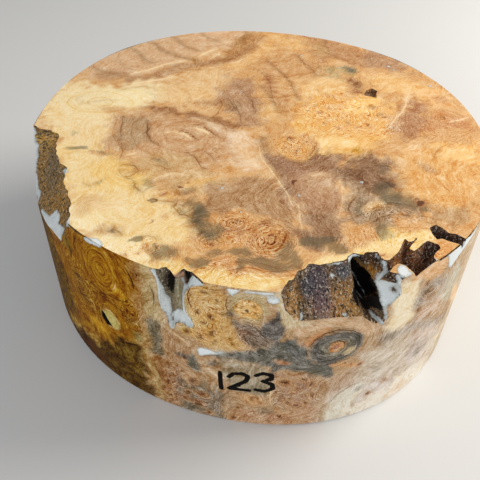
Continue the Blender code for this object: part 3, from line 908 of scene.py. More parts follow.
# %% Gold lace, bold curl and quiet rings of the sawn face
for u, v, half_u, half_v, strength in (
    (42, 13, 22, 19, 1), (16, -15, 9, 10, 1), (84, 6, 13, 12, 0.5), (30, 65, 6, 6, 0.5),
    (5, -75, 9, 9, 0.9), (-9, -67, 6, 8, 0.9), (-5, -90, 24, 6, 0.8), (46, -72, 18, 6, 0.6),
    (-42, -82, 16, 6, 0.5), (50, -57, 12, 7, 0.5), (-16, -76, 5, 6, 0.9), (60, -74, 9, 7, 0.6),
):
    face.add("lace", face.spot(u, v, half_u, half_v, 0.0, 0.45), strength)
for u, v, half_u, half_v, strength in (
    (74, -28, 20, 26, 1), (-50, -52, 30, 24, 0.7), (80, 30, 16, 20, 0.7), (-30, -10, 26, 20, 0.5),
    (0, -48, 20, 16, 0.8), (26, -45, 12, 24, 0.6), (46, -44, 12, 16, 0.8), (0, 80, 16, 20, 0.5),
    (30, 40, 20, 12, 0.5), (-8, -90, 30, 8, 0.7), (46, 10, 30, 26, 0.8),
):
    face.add("curl", face.spot(u, v, half_u, half_v, 0.0, 0.6), strength)
for u, v, size, squash in (
    (-34, -8, 18, 1.3), (-60, 22, 20, 1.8), (5, -75, 12, 1), (42, 12, 14, 1.2), (16, -15, 9, 1),
    (-54, -36, 9, 1.2), (-36, -50, 8, 1.3), (30, 65, 8, 1), (86, 12, 9, 1), (-56, -62, 9, 1.5),
):
    face.swirl(u, v, size, squash, 0.85)
face.rings(-33, -7, 7.5, face.spot(-40, -8, 34, 24, 10, 0.35), 0.2, 1.15)
face.rings(-20, 120, 15.0, face.spot(20, 40, 26, 34, 0, 0.4), 0.25)
face.rings(-76, 16, 11.0, face.spot(-72, 16, 26, 13, 0, 0.3), 0.42, 1.7)
face.rings(0, -96, 5.0, face.spot(-4, -91, 24, 6, 0, 0.4), 0.6, 1.6)
face.rings(60, -95, 7.0, face.spot(50, -58, 16, 9, 0, 0.4), 0.4)

# %% Rays, ridges and fissures of the sawn face
LIGHT_LINES = (
    (((-44, -44), (-40, -39), (-33, -36), (-26, -38)), 1.4, 0.6),
    (((-64, -56), (-58, -60), (-54, -58), (-56, -53)), 1.4, 0.6),
    (((-30, -32), (-24, -36), (-20, -42)), 1.2, 0.5),
    (((-68, 42), (-60, 48), (-50, 55), (-44, 58), (-39, 62)), 1, 0.9),
    (((-36, 63), (-32, 68), (-28, 72), (-22, 76)), 1.8, 0.8),
    (((-22, 80), (-19, 84), (-16, 86)), 1.6, 0.6),
    (((-22, 74), (-25, 67), (-29, 62)), 0.8, 0.7),
    (((-66, 32.5), (-58, 36), (-50, 40), (-45, 43), (-43, 46)), 1, 0.9),
    (((-19, 58), (-12, 62), (-8, 67)), 1.2, 0.5),
    (((56, 2), (61, 9), (65, 16), (68, 24), (70, 30), (73, 38)), 0.9, 0.7),
    (((55, 0), (60, 2), (66, 10)), 1.2, 0.4),
    (((-44, -8), (-38, -6), (-32, -9), (-28, -14)), 2, 0.7),
    (((-30, -2), (-24, -5), (-20, -9)), 1.6, 0.8),
    (((-34, 7), (-24, 2), (-14, -2)), 0.8, 0.6),
    (((-1, -12), (1, -24), (5, -33), (9, -41), (13, -48), (15, -56)), 0.9, 0.6),
    (((-6, -14), (-4, -24), (0, -34)), 1.4, 0.4),
    (((-12, -12), (-9, -22), (-5, -32)), 1.2, 0.35),
    (((32, -27), (33.5, -33), (33.6, -42), (33, -50), (31, -58), (29, -66)), 0.7, 0.4),
    (((29, -30), (29, -38), (27, -46)), 1, 0.3),
    (((-58, -27), (-52, -24), (-48, -20)), 1, 0.7),
    (((84, 10), (91, 12.5), (97, 17)), 0.8, 0.8),
    (((16, -50), (17, -60), (17, -70)), 0.8, 0.5),
)
DARK_LINES = (
    (((-58, -35), (-56, -32), (-51, -32), (-49, -36), (-52, -40), (-56, -39)), 0.7, "#9C7444", 0.8),
    (((-48, -42), (-49, -46), (-45, -49), (-42, -48)), 1.1, "#8A6A44", 0.7),
    (((-41, -50), (-38, -54), (-33, -55), (-30, -52)), 0.9, "#8A6440", 0.7),
    (((-31, -53), (-32, -58), (-28, -62), (-23, -62)), 0.9, "#8C7450", 0.7),
    (((-60, -14), (-57, -24), (-58, -32)), 0.9, "#A17C50", 0.6),
    (((-44, -30), (-38, -34), (-33, -34)), 1, "#A17A4C", 0.6),
    (((-70, -44), (-66, -47), (-62, -45)), 1, "#A98A5A", 0.6),
    (((-55, -70), (-50, -72), (-47, -76)), 1, "#9A7A50", 0.7),
    (((-18, 22), (-20, 10), (-24, 2), (-30, -4)), 0.8, "#9A7048", 0.6),
    (((-70, 26), (-66, 30), (-56, 32), (-48, 30)), 0.7, "#B08A58", 0.6),
    (((-26, -18), (-20, -24), (-16, -30)), 0.8, "#966C48", 0.6),
    (((-45, 46), (-38, 50), (-28, 54)), 0.8, "#AA7E50", 0.6),
    (((0, -7), (2, -16), (5, -26), (9, -36), (12, -43), (14, -50)), 2, "#6B4A36", 0.9),
    (((-1, -6), (2, -8), (3, -11)), 2.2, "#5E3E2A", 0.8),
    (((-37, -4), (-30, -8), (-26, -14)), 1.2, "#8C5F3C", 0.8),
    (((-27, 0), (-21, -5), (-18, -11)), 1, "#8C5F3C", 0.8),
    (((-33, -19), (-27, -25), (-23, -31), (-18, -34)), 0.7, "#8A6040", 0.7),
    (((-14, 40), (-9, 32), (-4, 22), (-2, 8)), 0.6, "#7A5840", 0.6),
    (((-19, 27), (-13, 17), (-9, 8), (-8, -1)), 0.6, "#7A5840", 0.6),
    (((-7, 58), (0, 50), (4, 42), (5, 30), (7, 18)), 0.6, "#9A7048", 0.5),
    (((1, 66), (6, 58), (10, 50), (14, 38), (18, 24)), 0.6, "#9A7048", 0.5),
    (((16, 76), (20, 66), (25, 56), (28, 46)), 0.6, "#9A7048", 0.5),
    (((29, 86), (31, 78), (36, 71)), 0.7, "#9A7048", 0.5),
    (((-62, 8), (-61, -4), (-60, -14)), 0.6, "#8F6A44", 0.6),
    (((-51, 4), (-50, -8), (-46, -13)), 0.7, "#7C5434", 0.7),
    (((-82, 23), (-87, 19), (-83, 14.5), (-74, 18), (-66, 19)), 0.5, "#B08856", 0.5),
    (((-56, 29), (-50, 25), (-50, 17), (-54, 12)), 0.5, "#B08856", 0.5),
    (((-40, 32), (-35, 26), (-34, 18), (-37, 12)), 0.5, "#B08856", 0.4),
    (((41, 34), (46, 34.6), (51, 33)), 1, "#6B3A1E", 0.9),
    (((43, 50), (44, 44), (48, 38)), 2.4, "#9A6A44", 0.6),
    (((57, 29), (59, 25), (58, 20)), 1.4, "#A8672F", 0.6),
    (((-57, -33), (-56, -39), (-50, -42), (-47, -47), (-42, -49)), 0.6, "#94744A", 0.6),
    (((-31, -50), (-31, -57), (-26, -62), (-20, -65)), 0.5, "#94744A", 0.6),
    (((9, -67), (11, -71), (9, -77), (6, -80)), 1.2, "#7C4C2A", 0.8),
    (((-2, -67), (4, -65.6), (9, -67)), 0.8, "#8A5A34", 0.7),
    (((60, -59), (64, -61.5), (68, -60)), 0.6, "#93704A", 0.7),
    (((24, -10), (24, -16), (20, -23)), 0.7, "#8A5A30", 0.7),
    (((74, -22), (75, -15), (79, -8)), 0.7, "#A8773E", 0.6),
    (((58, -46), (52, -38), (49, -34)), 1, "#77583E", 0.6),
    (((34, -58), (36, -50), (40, -44)), 1, "#87684C", 0.6),
    (((42, -62), (44, -56), (49, -53), (55, -54)), 0.6, "#9A7B4C", 0.6),
    (((-45, -76), (-38, -75), (-32, -77)), 0.7, "#94744A", 0.6),
)
SOFT_BANDS = (
    (((-92, 52), (-86, 50), (-80, 46), (-74, 43), (-68, 41.5)), 1.5, "#A98258", 0.7),
    (((-80, 64), (-74, 57), (-68, 50), (-64, 46)), 1.2, "#B08A60", 0.45),
    (((-74, 74), (-68, 69), (-62, 62), (-57, 57), (-54, 54)), 1.6, "#A37C52", 0.75),
    (((-64, 84), (-59, 79), (-53, 71), (-46, 65), (-38, 62), (-30, 61)), 1.6, "#A37C52", 0.75),
    (((-54, 90), (-48, 85), (-42, 77), (-35, 72), (-29, 70)), 1.5, "#AA8258", 0.65),
    (((-38, 96), (-32, 91), (-27, 85), (-23, 80)), 1.8, "#AA8258", 0.55),
    (((-6, 100), (-10, 92), (-13, 84), (-18, 77)), 2, "#A0743E", 0.6),
    (((-4, 84), (-8, 76), (-14, 68), (-22, 61), (-30, 57)), 3, "#A8784A", 0.7),
    (((-36, 8), (-28, 5), (-18, 1), (-8, -5)), 2.4, "#9A6A44", 0.6),
    (((-20, -2), (-14, -10), (-10, -22), (-6, -32)), 2.2, "#BE9470", 0.5),
    (((-60, 4), (-61, -8), (-59, -20)), 0.9, "#96724E", 0.6),
    (((-50, 2), (-50, -8), (-46, -15), (-40, -19)), 1, "#8E6644", 0.6),
    (((-20, -53), (-22, -62), (-20, -68), (-16, -74), (-14, -79)), 3.2, "#7A6240", 0.75),
    (((36, 96), (33, 84), (36, 74), (40, 66)), 1.6, "#A97E50", 0.5),
    (((54, 76), (55, 69), (59, 63)), 1.8, "#9E7856", 0.6),
    (((1, 66), (6, 58), (11, 48), (15, 36), (19, 22)), 1.3, "#A97C4E", 0.5),
    (((-3, 42), (3, 32), (6, 22), (8, 10)), 1.6, "#A07448", 0.55),
    (((17, 75), (20, 66), (25, 56), (28, 46)), 1.3, "#A97C4E", 0.5),
    (((43, 52), (44, 45), (46, 39), (50, 36)), 2.6, "#9A6A42", 0.65),
)
DRAWN_BELOW = 1.3
for route, width, tone, strength in SOFT_BANDS:
    face.tone(tone, face.line(route, width, 6.0), strength)
for route, width, strength in LIGHT_LINES:
    face.tone("#F2D2A6", face.line(route, width + 0.9, 5.0), 0.55 * strength)
    face.draw(route, 0.6 * width, 1.0, 0.6 * strength)
for route, width, tone, strength in DARK_LINES:
    face.tone(tone, face.line(route, width + 0.6, 4.0), 0.45 * strength)
    if width < DRAWN_BELOW:
        face.draw(route, 0.45 * width, -1.0, 0.42 * strength, 5.0)

# %% Eyes, stains and spots of the sawn face
for u, v, half_u, half_v, turn, strength in (
    (-77, -20, 4, 1.8, 5, 0.85), (-70, -23, 6, 1.4, -20, 0.5), (-65, -26, 4, 2.5, -30, 0.5),
    (-43, -78.3, 3.4, 1.6, 14, 0.95), (-32, -83, 5, 3.4, -8, 0.75), (-21, -86, 4, 2, 10, 0.9),
    (-19, -61, 3, 8, 12, 0.8), (-15, -70, 3, 6, 20, 0.7), (-25, -57, 3.4, 4, 0, 0.45),
    (-5, -80, 5, 3, 0, 0.85),
    (-3, -87, 3, 4, 0, 0.85), (5, -86, 8, 4, 0, 0.9), (11, -80, 3, 7, 0, 0.7),
    (22, -74, 6, 3, -4, 1), (29, -76, 4, 2.4, 0, 0.9), (14, -84, 3, 5, 0, 0.8),
    (50, -42, 4, 5, 0, 0.75), (56, -49, 6, 4, -30, 0.85), (63, -54, 4, 2.4, -20, 0.6),
    (47, -66, 4, 4, 0, 0.8), (-26, -56, 4.4, 5, 0, 0.6), (-44, -43, 3, 4, 30, 0.45),
    (-52, -72, 2.2, 1.2, 20, 0.7), (-80, -10, 3, 2, 0, 0.3), (-62, -45, 3, 2, 60, 0.4),
    (-40, -30, 3, 8, 60, 0.4), (44, 57, 3.5, 2, 0, 0.6), (52, -28, 4, 6, 0, 0.4),
    (-14, -82, 4, 2, 30, 0.6), (40, -50, 3, 6, 0, 0.5), (-18, -20, 3, 2, 0, 0.4),
):
    face.add("grey", face.spot(u, v, half_u, half_v, turn, 0.8), strength)
for u, v, half_u, half_v, turn, strength in (
    (53, 33, 2.6, 3, 10, 1), (-30, -45.5, 2.2, 1.2, -50, 0.8), (-40, -52.5, 2.2, 1.6, 0, 0.7),
    (-38, -65.5, 1.1, 1.8, -30, 0.7), (16.2, -39.5, 0.9, 1.5, 0, 0.9), (63, -50.5, 1.6, 1.3, 0, 0.9),
):
    face.add("umber_and_shade", face.spot(u, v, half_u, half_v, turn, 0.6), strength)
for u, v, size, strength in (
    (5, -74, 6.5, 0.6), (-9, -66, 4.5, 0.8), (-15, -77, 4, 0.8), (-54, -36, 5, 0.35),
    (-36, -50, 4.5, 0.4), (14, -9, 3, 0.5), (17, -17, 3.6, 0.5), (56, 14, 3.4, 0.6),
    (46.3, -78.5, 2.4, 0.8), (40, 8, 3, 0.6), (48, 6, 2.6, 0.6), (82, 14, 3.6, 0.5),
    (30, 65, 3.2, 0.5), (34, 20, 2.6, 0.5), (52, 22, 3, 0.5), (28, 4, 2.6, 0.5),
):
    face.eye(u, v, size, strength=strength)
face.dots(
    (
        (25, 20, 0.9), (27, 15, 1.1), (24, 12.5, 0.8), (40, 7, 1), (44, 5, 1), (48, 6.5, 1.2),
        (52, 21, 0.9),
        (57, 12, 1), (60, 22, 1.2), (36, 1, 0.9), (50, 14, 0.8), (30, 9, 0.7), (14, -8, 1.1),
        (18, -15, 1),
        (12, -15, 0.8), (16, -20, 0.9), (10, -11, 0.7), (20, -10, 0.8), (62, 6, 0.9), (46, 22, 0.7),
        (34, 24, 0.7), (-30, -45, 1.3), (-27, -42, 0.9), (-38, -65, 0.9), (-9, -64, 1.1), (-15, -78, 1.2),
        (-36, -50, 1.2), (4, -73, 1.4), (7, -71, 1.1), (-44, -86, 1), (-40, -84, 0.8), (46, -79, 1.4),
        (84, 4, 0.9), (90, 2, 0.8), (94, 6, 0.7), (86, -36, 0.8), (87, -30, 0.7), (60, -74, 1),
        (66, -77, 0.8),
    ),
    "#EBC083", "#A0561F",
)
face.tone("#C2902E", face.spot(40.0, -16.6, 2.2, 1.1), 0.9)
face.tone("#9A3C18", face.spot(63.0, -50.5, 1.4, 1.1), 0.9)
face.tone("#8E4020", face.spot(16.2, -39.5, 0.8, 1.4), 0.9)
print("face painted:", len(FACE_AREAS), "areas")

# %% [markdown]
# ## The figure of the sawn wall
#
# Places on the wall are an angle in degrees and a depth in millimetres below the sawn face. The left is
# amber with one big swirl and a slit of bark in it, and a dark brown foot. Its amber and browns are
# painted
# deeper than the rest: partly the wood's own colour, partly painted shade of the side turned from the
# light. The middle is the most knotted part: a golden burl patch, a round eye, a charcoal stain and a
# green-grey knot with an orange heart. The right is pale and pinkish, with grey-brown mottles that slant
# down to the right. A thin pale veil over the lit middle and right is partly wax, partly painted sheen.
# The back is not seen in the picture, so it is a quiet mixture of the same tones.

# %% Broad tones of the wall
behind = ease_between(105.0, 175.0, abs(azimuth))
wall = Skin(around, below, 11, "#AE8654", -58.0, 0.7, points, behind)
# The dark amber and browns of the left side, #925C04, #5E3F0E and the dark browns low on it, are partly
# the wood's colour, partly painted shade of the side turned from the light.
WALL_AREAS = (
    ("#C8A87E", 7, ((78, -4), (116, -4), (122, 30), (106, 60), (114, 86), (78, 86))),
    ("#A8794C", 6, ((104, 24), (130, 8), (150, 34), (140, 66), (116, 72), (100, 50))),
    ("#BE935C", 7, ((136, -4), (184, -4), (184, 40), (160, 54), (140, 36))),
    ("#BE935C", 7, ((-184, -4), (-142, -4), (-122, 26), (-146, 56), (-184, 40))),
    ("#8A6236", 7, ((-124, 8), (-86, -4), (-80, 84), (-100, 72), (-118, 50))),
    ("#925C04", 3, ((-72, -2), (-26, -2), (-25, 30), (-28, 50), (-36, 60), (-50, 70), (-72, 84))),
    ("#5E3F0E", 5, ((-96, -6), (-62, 10), (-54, 30), (-52, 56), (-60, 88), (-104, 88), (-90, 50))),
    ("#A06C14", 1.8, ((-40, 6), (-36, 3), (-31, 6), (-29.5, 14), (-32, 22), (-38, 23), (-41, 14))),
    ("#80642E", 1.6, ((-49, 2), (-46.5, 2), (-46, 16), (-49, 16))),
    ("#C2B294", 0.8, ((-38.4, 37.5), (-37, 36), (-34.6, 36.6), (-32.6, 40), (-32, 43.5), (-33.4, 46),
     (-36, 46), (-38.4, 41))),
    ("#482C0A", 2.2, ((-24, 50), (-27.5, 48.5), (-31, 52), (-34.5, 55), (-36, 60), (-40, 61), (-44, 67),
     (-52, 71), (-62, 86), (-21, 86), (-26, 72), (-26, 60))),
    ("#4A2608", 3, ((-52, 72), (-44, 69), (-41, 76), (-43, 86), (-54, 86))),
    ("#634417", 2.4, ((-36, 60), (-31, 56), (-27, 58), (-28, 70), (-33, 66))),
    ("#B69C6A", 1.4, ((-24.5, -2), (-21, -2), (-19.8, 20), (-18.4, 30), (-22, 27), (-24.4, 27))),
    ("#72654A", 1.7, ((-25, 29), (-23, 26.5), (-20.4, 27), (-19.6, 38), (-20.2, 48), (-21.5, 51),
     (-23, 50), (-24, 40))),
    ("#75603A", 1.4, ((-28, 41), (-25.6, 40), (-25.4, 46), (-27.4, 47.5))),
    ("#A07A3E", 1.2, ((-26, 30), (-24.6, 30), (-24.4, 48), (-23, 60), (-21, 84), (-24, 84), (-25.6, 62))),
    ("#925F22", 1.6, ((-23, 51), (-17, 46), (-15, 60), (-17, 84), (-21, 84))),
    ("#A07034", 1.4, ((-19.5, 30), (-12, 36), (-12, 50), (-16, 56), (-20, 50))),
    ("#C6994C", 0.7, ((-14, 3), (-12, 0.5), (-7.6, 0.5), (-5.4, 4), (-4.8, 12), (-3.9, 20), (-3, 25),
     (-1.2, 29), (0, 31), (-3, 33.5), (-9, 34), (-12, 31), (-15, 28), (-12.6, 23), (-12.6, 18),
     (-14.2, 12))),
    ("#BBA66C", 0.7, ((-16, 5), (-14.2, 2.5), (-13.6, 6), (-14.2, 12), (-13, 17), (-12.4, 23), (-15, 28),
     (-17.6, 30), (-13.6, 24), (-14.6, 15), (-15, 10))),
    ("#AE9560", 0.8, ((-5.4, 3), (3, 0), (3.4, 12), (1, 18), (-4.6, 14))),
    ("#DCA956", 0.4, ((2.1, 10.5), (1.7, 13), (0.6, 15), (-0.8, 15.7), (-2.3, 15), (-3.3, 13),
     (-3.7, 10.5), (-3.3, 8), (-2.2, 6), (-0.8, 5.3), (0.7, 6), (1.7, 8))),
    ("#C9B48A", 1, ((3, 0), (6, 2), (8, 12), (12, 15), (10, 19), (7, 20), (5, 14), (5.4, 9))),
    ("#6A5238", 1, ((-4, 17.5), (-2, 19), (0.6, 19), (2, 20), (4, 24), (5.4, 26.5), (5, 29), (3, 31.5),
     (0.5, 31), (-1, 28), (-2.5, 24))),
    ("#38332F", 0.6, ((2.2, 17), (3.2, 14.8), (4.5, 13), (5, 9.6), (5.5, 10), (6, 15), (7.2, 18),
     (7.6, 23), (6.6, 25), (5.4, 26.4), (4.2, 24), (3.2, 23.5), (2, 19.5))),
    ("#4B4A40", 0.7, ((-12, 38.4), (-5.5, 35.5), (0, 32.4), (4, 30), (6.5, 26.5), (8.4, 25), (9.6, 22),
     (10.6, 25), (11.4, 29), (12.4, 34), (14, 38), (17, 41), (18.6, 46), (18.8, 50), (16.5, 51),
     (14.5, 47), (12.5, 44), (9.8, 42.5), (7.4, 42), (6, 45), (5.6, 53), (4.4, 52), (4.4, 43), (0, 39.5),
     (-3, 39), (-6, 39))),
    ("#3E3D36", 0.8, ((6, 27), (8.4, 25), (9.8, 23.4), (10.8, 28), (11.8, 34), (9.8, 35), (7.4, 31))),
    ("#988564", 1.6, ((-6, 39.5), (0, 40), (4.4, 43), (5, 53), (3, 62), (-3, 60), (-6, 50))),
    ("#CBA478", 1.2, ((8, 17), (16, 15), (24, 18), (27, 26), (24, 28), (22, 22), (18, 18.6), (14, 18.6),
     (11, 23), (10, 27))),
    ("#C07A2C", 0.7, ((10.6, 28), (11, 24), (12.5, 20.5), (14.8, 18.8), (17.4, 18.4), (16, 20),
     (14.4, 22), (13.4, 25), (12, 27.6))),
    ("#2C2B22", 0.7, ((11.8, 30), (13, 25), (15, 22), (18, 21.2), (21, 23), (23.4, 27), (24, 32),
     (22.8, 37), (20, 40), (16.6, 40.4), (13.6, 38), (12, 34))),
    ("#74674C", 0.7, ((14.6, 30), (15.6, 26.6), (17.8, 25), (20.2, 26.6), (21.4, 30.6), (20.4, 35),
     (17.8, 36.4), (15.2, 34.6))),
    ("#D08F3C", 0.4, ((16.2, 30.4), (16.8, 28), (18, 27.4), (19.4, 29), (19.6, 31.6), (18.6, 33.6),
     (17, 33.4))),
    ("#BFA676", 0.6, ((19.4, 36.6), (21.4, 33), (22.6, 32), (22.4, 35.4), (20.4, 37.6))),
    ("#C88840", 0.7, ((17.6, 41.4), (20, 41), (25, 43.4), (26, 46), (22, 45.4), (19, 43))),
    ("#5C5442", 0.8, ((-14.4, 50), (-12.6, 40), (-10.4, 50), (-11.6, 53))),
    ("#7A6346", 2, ((-17, 60), (-6, 58), (-4, 84), (-17, 84))),
    ("#A88058", 1.8, ((5.6, 46), (14, 47), (16, 56), (14, 70), (6, 66))),
    ("#C08F55", 1, ((-2, 61), (3.6, 60.6), (4.6, 67), (1, 69), (-1.6, 67))),
    ("#B88A5C", 1.6, ((-4, 72), (8, 70), (17, 68), (16, 84), (-4, 84))),
    ("#B08A64", 1.6, ((17, 50), (25, 46), (27, 56), (22, 60), (18, 64))),
    ("#D0C4A6", 1.1, ((27, 57), (24, 57.4), (21, 62), (19, 68), (17.6, 76), (17.4, 84), (24, 84),
     (24, 74), (27, 68))),
    ("#EFDAB0", 2, ((29, 3), (35, 3), (35.6, 10), (35, 20), (36, 28), (33, 31), (29, 27), (28.4, 20),
     (28.6, 12))),
    ("#D8A25E", 1.4, ((32, -1), (44, -1), (42, 7), (37, 8), (33, 4))),
    ("#AC967E", 2.2, ((35.6, 8), (40, 9), (44, 12), (46, 20), (44, 25), (39, 23), (36.4, 29), (35, 18))),
    ("#C9A88C", 2.4, ((36, 27), (41, 24), (46, 24), (45, 34), (38, 32))),
    ("#B8AC92", 2.6, ((45, 12), (52, 14), (54, 30), (50, 38), (45, 28))),
    ("#C8B49A", 2.6, ((23, 36), (34, 35), (40, 44), (36, 60), (26, 60), (24, 48))),
    ("#C6AE9A", 2.6, ((36, 38), (48, 44), (56, 58), (46, 62), (38, 56))),
    ("#AD988A", 2.4, ((37, 51), (44, 51), (50, 58), (46, 62), (40, 60))),
    ("#B6957E", 2.4, ((26, 61), (34, 60), (37, 68), (32, 72), (27, 70))),
    ("#E4D2B2", 2.4, ((24, 74), (34, 72), (38, 66), (46, 68), (52, 84), (24, 84))),
    ("#E0B684", 2, ((35.6, 73), (40, 72), (42, 80), (36, 81))),
    ("#BCA584", 5, ((50, -6), (88, -6), (80, 20), (92, 44), (84, 88), (56, 88), (48, 62), (54, 40))),
    ("#E0BA8A", 1.8, ((51, 30), (56, 36), (60, 50), (55, 46))),
)
WALL_AREA_STRENGTH = 0.93
WALL_SPOT_STRENGTH = 0.8
for tone, edge, outline in WALL_AREAS:
    wall.tone(tone, wall.area(outline, edge, DEGREE), WALL_AREA_STRENGTH)


def wall_spot(at, down, half_turn, half_down, soft=0.6):
    """Mask of a soft ellipse on the wall, from degrees and millimetres."""
    return wall.spot(at * DEGREE, down, half_turn * DEGREE, half_down, 0.0, soft)


for tone, at, down, half_turn, half_down in (
    ("#A8705A", 17.9, 30.5, 0.9, 1.6), ("#4E2C20", 17.9, 30.5, 0.35, 0.6),
    ("#C27A34", 7.4, 37.6, 1.8, 1.3), ("#8A5A2C", -13.6, 27.6, 0.9, 1.6),
    ("#B77A34", -10.5, 29, 1.4, 2), ("#A9702E", -8, 18, 1.2, 2.4), ("#2C2620", -4.6, 15, 1, 1.8),
    ("#2A241C", -15, 43.6, 2.2, 1.5), ("#362E22", -8.4, 42.2, 1.3, 1.3), ("#8A5C30", -1.6, 23, 1.2, 1.6),
    ("#5C4028", -13.5, 58, 1.5, 2.4), ("#7C4A2C", -10.3, 66.5, 1.5, 2.2),
    ("#8E5A2A", -19.4, 60.5, 1.2, 2.2),
    ("#8A542A", -19.6, 68.4, 1.3, 2.6), ("#8A4E30", -11.3, 74, 1.2, 2.6), ("#A9774A", -15, 72, 1.4, 2.6),
    ("#8A5A3E", 8.2, 52, 1.3, 1.8), ("#8A5636", 11.8, 54.5, 1.6, 2.2), ("#6F4A34", 10, 45.6, 1, 1.4),
    ("#9C6238", 11, 67, 2.2, 3.6), ("#A0653C", 7.4, 76, 2, 2.4), ("#7E6450", 33, 63, 1.6, 2.2),
    ("#8F7864", 39.5, 15, 1.6, 3), ("#93806A", 36.6, 24, 1, 2), ("#7E6E62", 25, 61.5, 1.4, 1.8),
    ("#6B3F18", -46, 30, 1.6, 3), ("#70441A", -44, 38, 1.8, 2), ("#7B4E1E", -28.5, 34, 1.6, 3),
    ("#C5942F", -31, 21, 1.8, 3.6), ("#8A5F20", -51, 54, 1.4, 5), ("#C9922E", -40, 52, 4, 4),
):
    wall.tone(tone, wall_spot(at, down, half_turn, half_down), WALL_SPOT_STRENGTH)

# %% Lace, swirls and rings of the wall
for at, down, half_turn, half_down, strength in (
    (-9, 18, 6, 16, 0.5), (-0.8, 11, 3, 7, 0.5), (-44, 34, 6, 12, 0.7), (-28, 30, 3, 8, 0.7),
    (0, 25, 4, 6, 0.7), (-18.5, 63, 3, 12, 0.6), (-11, 68, 5, 10, 0.4), (10, 58, 6, 12, 0.5),
    (40, 16, 5, 9, 0.6), (4, 75, 9, 6, 0.4), (130, 40, 30, 36, 0.5), (-140, 40, 26, 36, 0.5),
):
    wall.add("lace", wall_spot(at, down, half_turn, half_down), strength)
for at, down, half_turn, half_down, strength in (
    (-42, 36, 20, 40, 0.8), (-22, 40, 3, 44, 0.7), (0, 46, 16, 16, 0.8), (-8, 66, 14, 16, 0.9),
    (12, 62, 10, 20, 0.8), (40, 45, 18, 42, 0.8), (18, 31, 6, 9, 0.7), (110, 40, 40, 60, 0.1),
    (-120, 40, 30, 60, 0.2),
):
    wall.add("curl", wall_spot(at, down, half_turn, half_down), strength)
for at, down, size, squash in (
    (-35.3, 13, 17, 0.8), (-35.3, 41, 12, 0.8), (-8.5, 16, 10, 0.8), (-0.8, 11, 6, 0.8),
    (17.9, 30.5, 13, 1.15), (39.5, 15, 7, 1), (-12, 62, 4, 1), (10.5, 53, 4, 1),
    (-46, 33, 8, 1), (4.5, 18, 6, 0.6), (-19, 64, 4, 1), (11, 67, 4, 1),
):
    wall.swirl(at * DEGREE, down, size, squash, 0.9)
wall.rings(-35.5 * DEGREE, 13.0, 4.2, wall_spot(-35.5, 14.0, 6.0, 14.0, 0.3), 0.5, 0.75)
wall.rings(-0.8 * DEGREE, 10.5, 2.4, wall_spot(-0.8, 10.5, 3.0, 5.2, 0.2), 0.45)
wall.rings(17.9 * DEGREE, 30.5, 2.6, wall_spot(17.9, 31.0, 6.5, 11.0, 0.3), 0.3, 1.15)
wall.rings(-110.0 * DEGREE, -40.0, 9.0, wall_spot(-118.0, 40.0, 30.0, 44.0, 0.3), 0.3)
wall.rings(150.0 * DEGREE, 150.0, 10.0, wall_spot(128.0, 40.0, 30.0, 44.0, 0.3), 0.3)
print("wall swirls laid")

# %% Fine lines of the wall
for route, width, tone, strength in (
    (((-46.3, 11), (-46, 15), (-46.5, 20)), 0.7, "#4E3212", 0.8),
    (((-28, 4), (-27, 8), (-26.4, 12), (-26.4, 16)), 0.8, "#4A3212", 0.9),
    (((-26, 3), (-25, 6), (-25.4, 9)), 0.8, "#5A3A18", 0.7),
    (((-22.4, 8), (-21.6, 13), (-21.6, 20)), 0.5, "#2E2412", 0.9),
    (((-42, 2), (-43.6, 8), (-44, 14)), 0.6, "#6A4A1C", 0.6),
    (((-42, 24), (-36, 27), (-30, 25), (-27.6, 20)), 0.6, "#7A5218", 0.6),
    (((-42, 31), (-38, 29), (-33, 30), (-29, 34)), 0.6, "#6E4618", 0.6),
    (((-48, 29), (-45, 27), (-43, 30)), 0.8, "#5E3614", 0.8),
    (((-44, 40), (-46, 39), (-47, 35)), 0.8, "#6A3E16", 0.8),
    (((-24.4, 50), (-27, 49), (-31, 52), (-34.6, 55)), 0.8, "#4A3518", 0.4),
    (((-12.4, 3), (-13.2, 8), (-13, 12), (-12, 16)), 0.7, "#6E4A22", 0.8),
    (((-12, 1.6), (-9, 2.6), (-6, 2)), 0.6, "#6E4A22", 0.6),
    (((-5.2, 4), (-5.4, 9), (-4.6, 14)), 0.5, "#8A6A3A", 0.7),
    (((11.7, 30), (13, 24.6), (15, 21.6), (18, 20.8), (21, 22.6), (23.6, 27)), 0.6, "#2E2C20", 0.8),
    (((16, 30.4), (16.6, 27.6), (18, 26.8), (19.6, 28.6), (19.8, 32)), 0.5, "#3A2E1C", 0.8),
    (((17.2, 30.4), (17.6, 29), (18.4, 29.4), (18.6, 31)), 0.4, "#5A3424", 0.9),
    (((-5, 46), (-4.4, 54), (-4.6, 62), (-3.6, 74)), 0.6, "#7E6A4C", 0.25),
    (((26, 57), (23, 58), (20.4, 63), (18.6, 70)), 0.6, "#8A7A5C", 0.7),
    (((27, 30), (30, 32.5), (36, 33.5), (41, 38), (47, 44), (54, 51)), 2.2, "#93806F", 0.9),
    (((36, 45), (44, 53), (52, 62)), 1.6, "#A8917F", 0.7),
    (((38, 58), (42, 66), (48, 76)), 1.4, "#B89E8A", 0.6),
    (((36, 9), (37.4, 13), (37, 18), (36, 24)), 1, "#8A7460", 0.7),
    (((39, 10), (42, 14), (44, 20)), 1.2, "#90796A", 0.6),
):
    route = [(at * DEGREE, down) for at, down in route]
    wall.tone(tone, wall.line(route, width + 0.5, 3.0), 0.8 * strength if width > 0.9 else 0.3)
    if width < 0.95:
        wall.draw(route, 0.5 * width, -1.0, 0.7 * strength, 3.0)
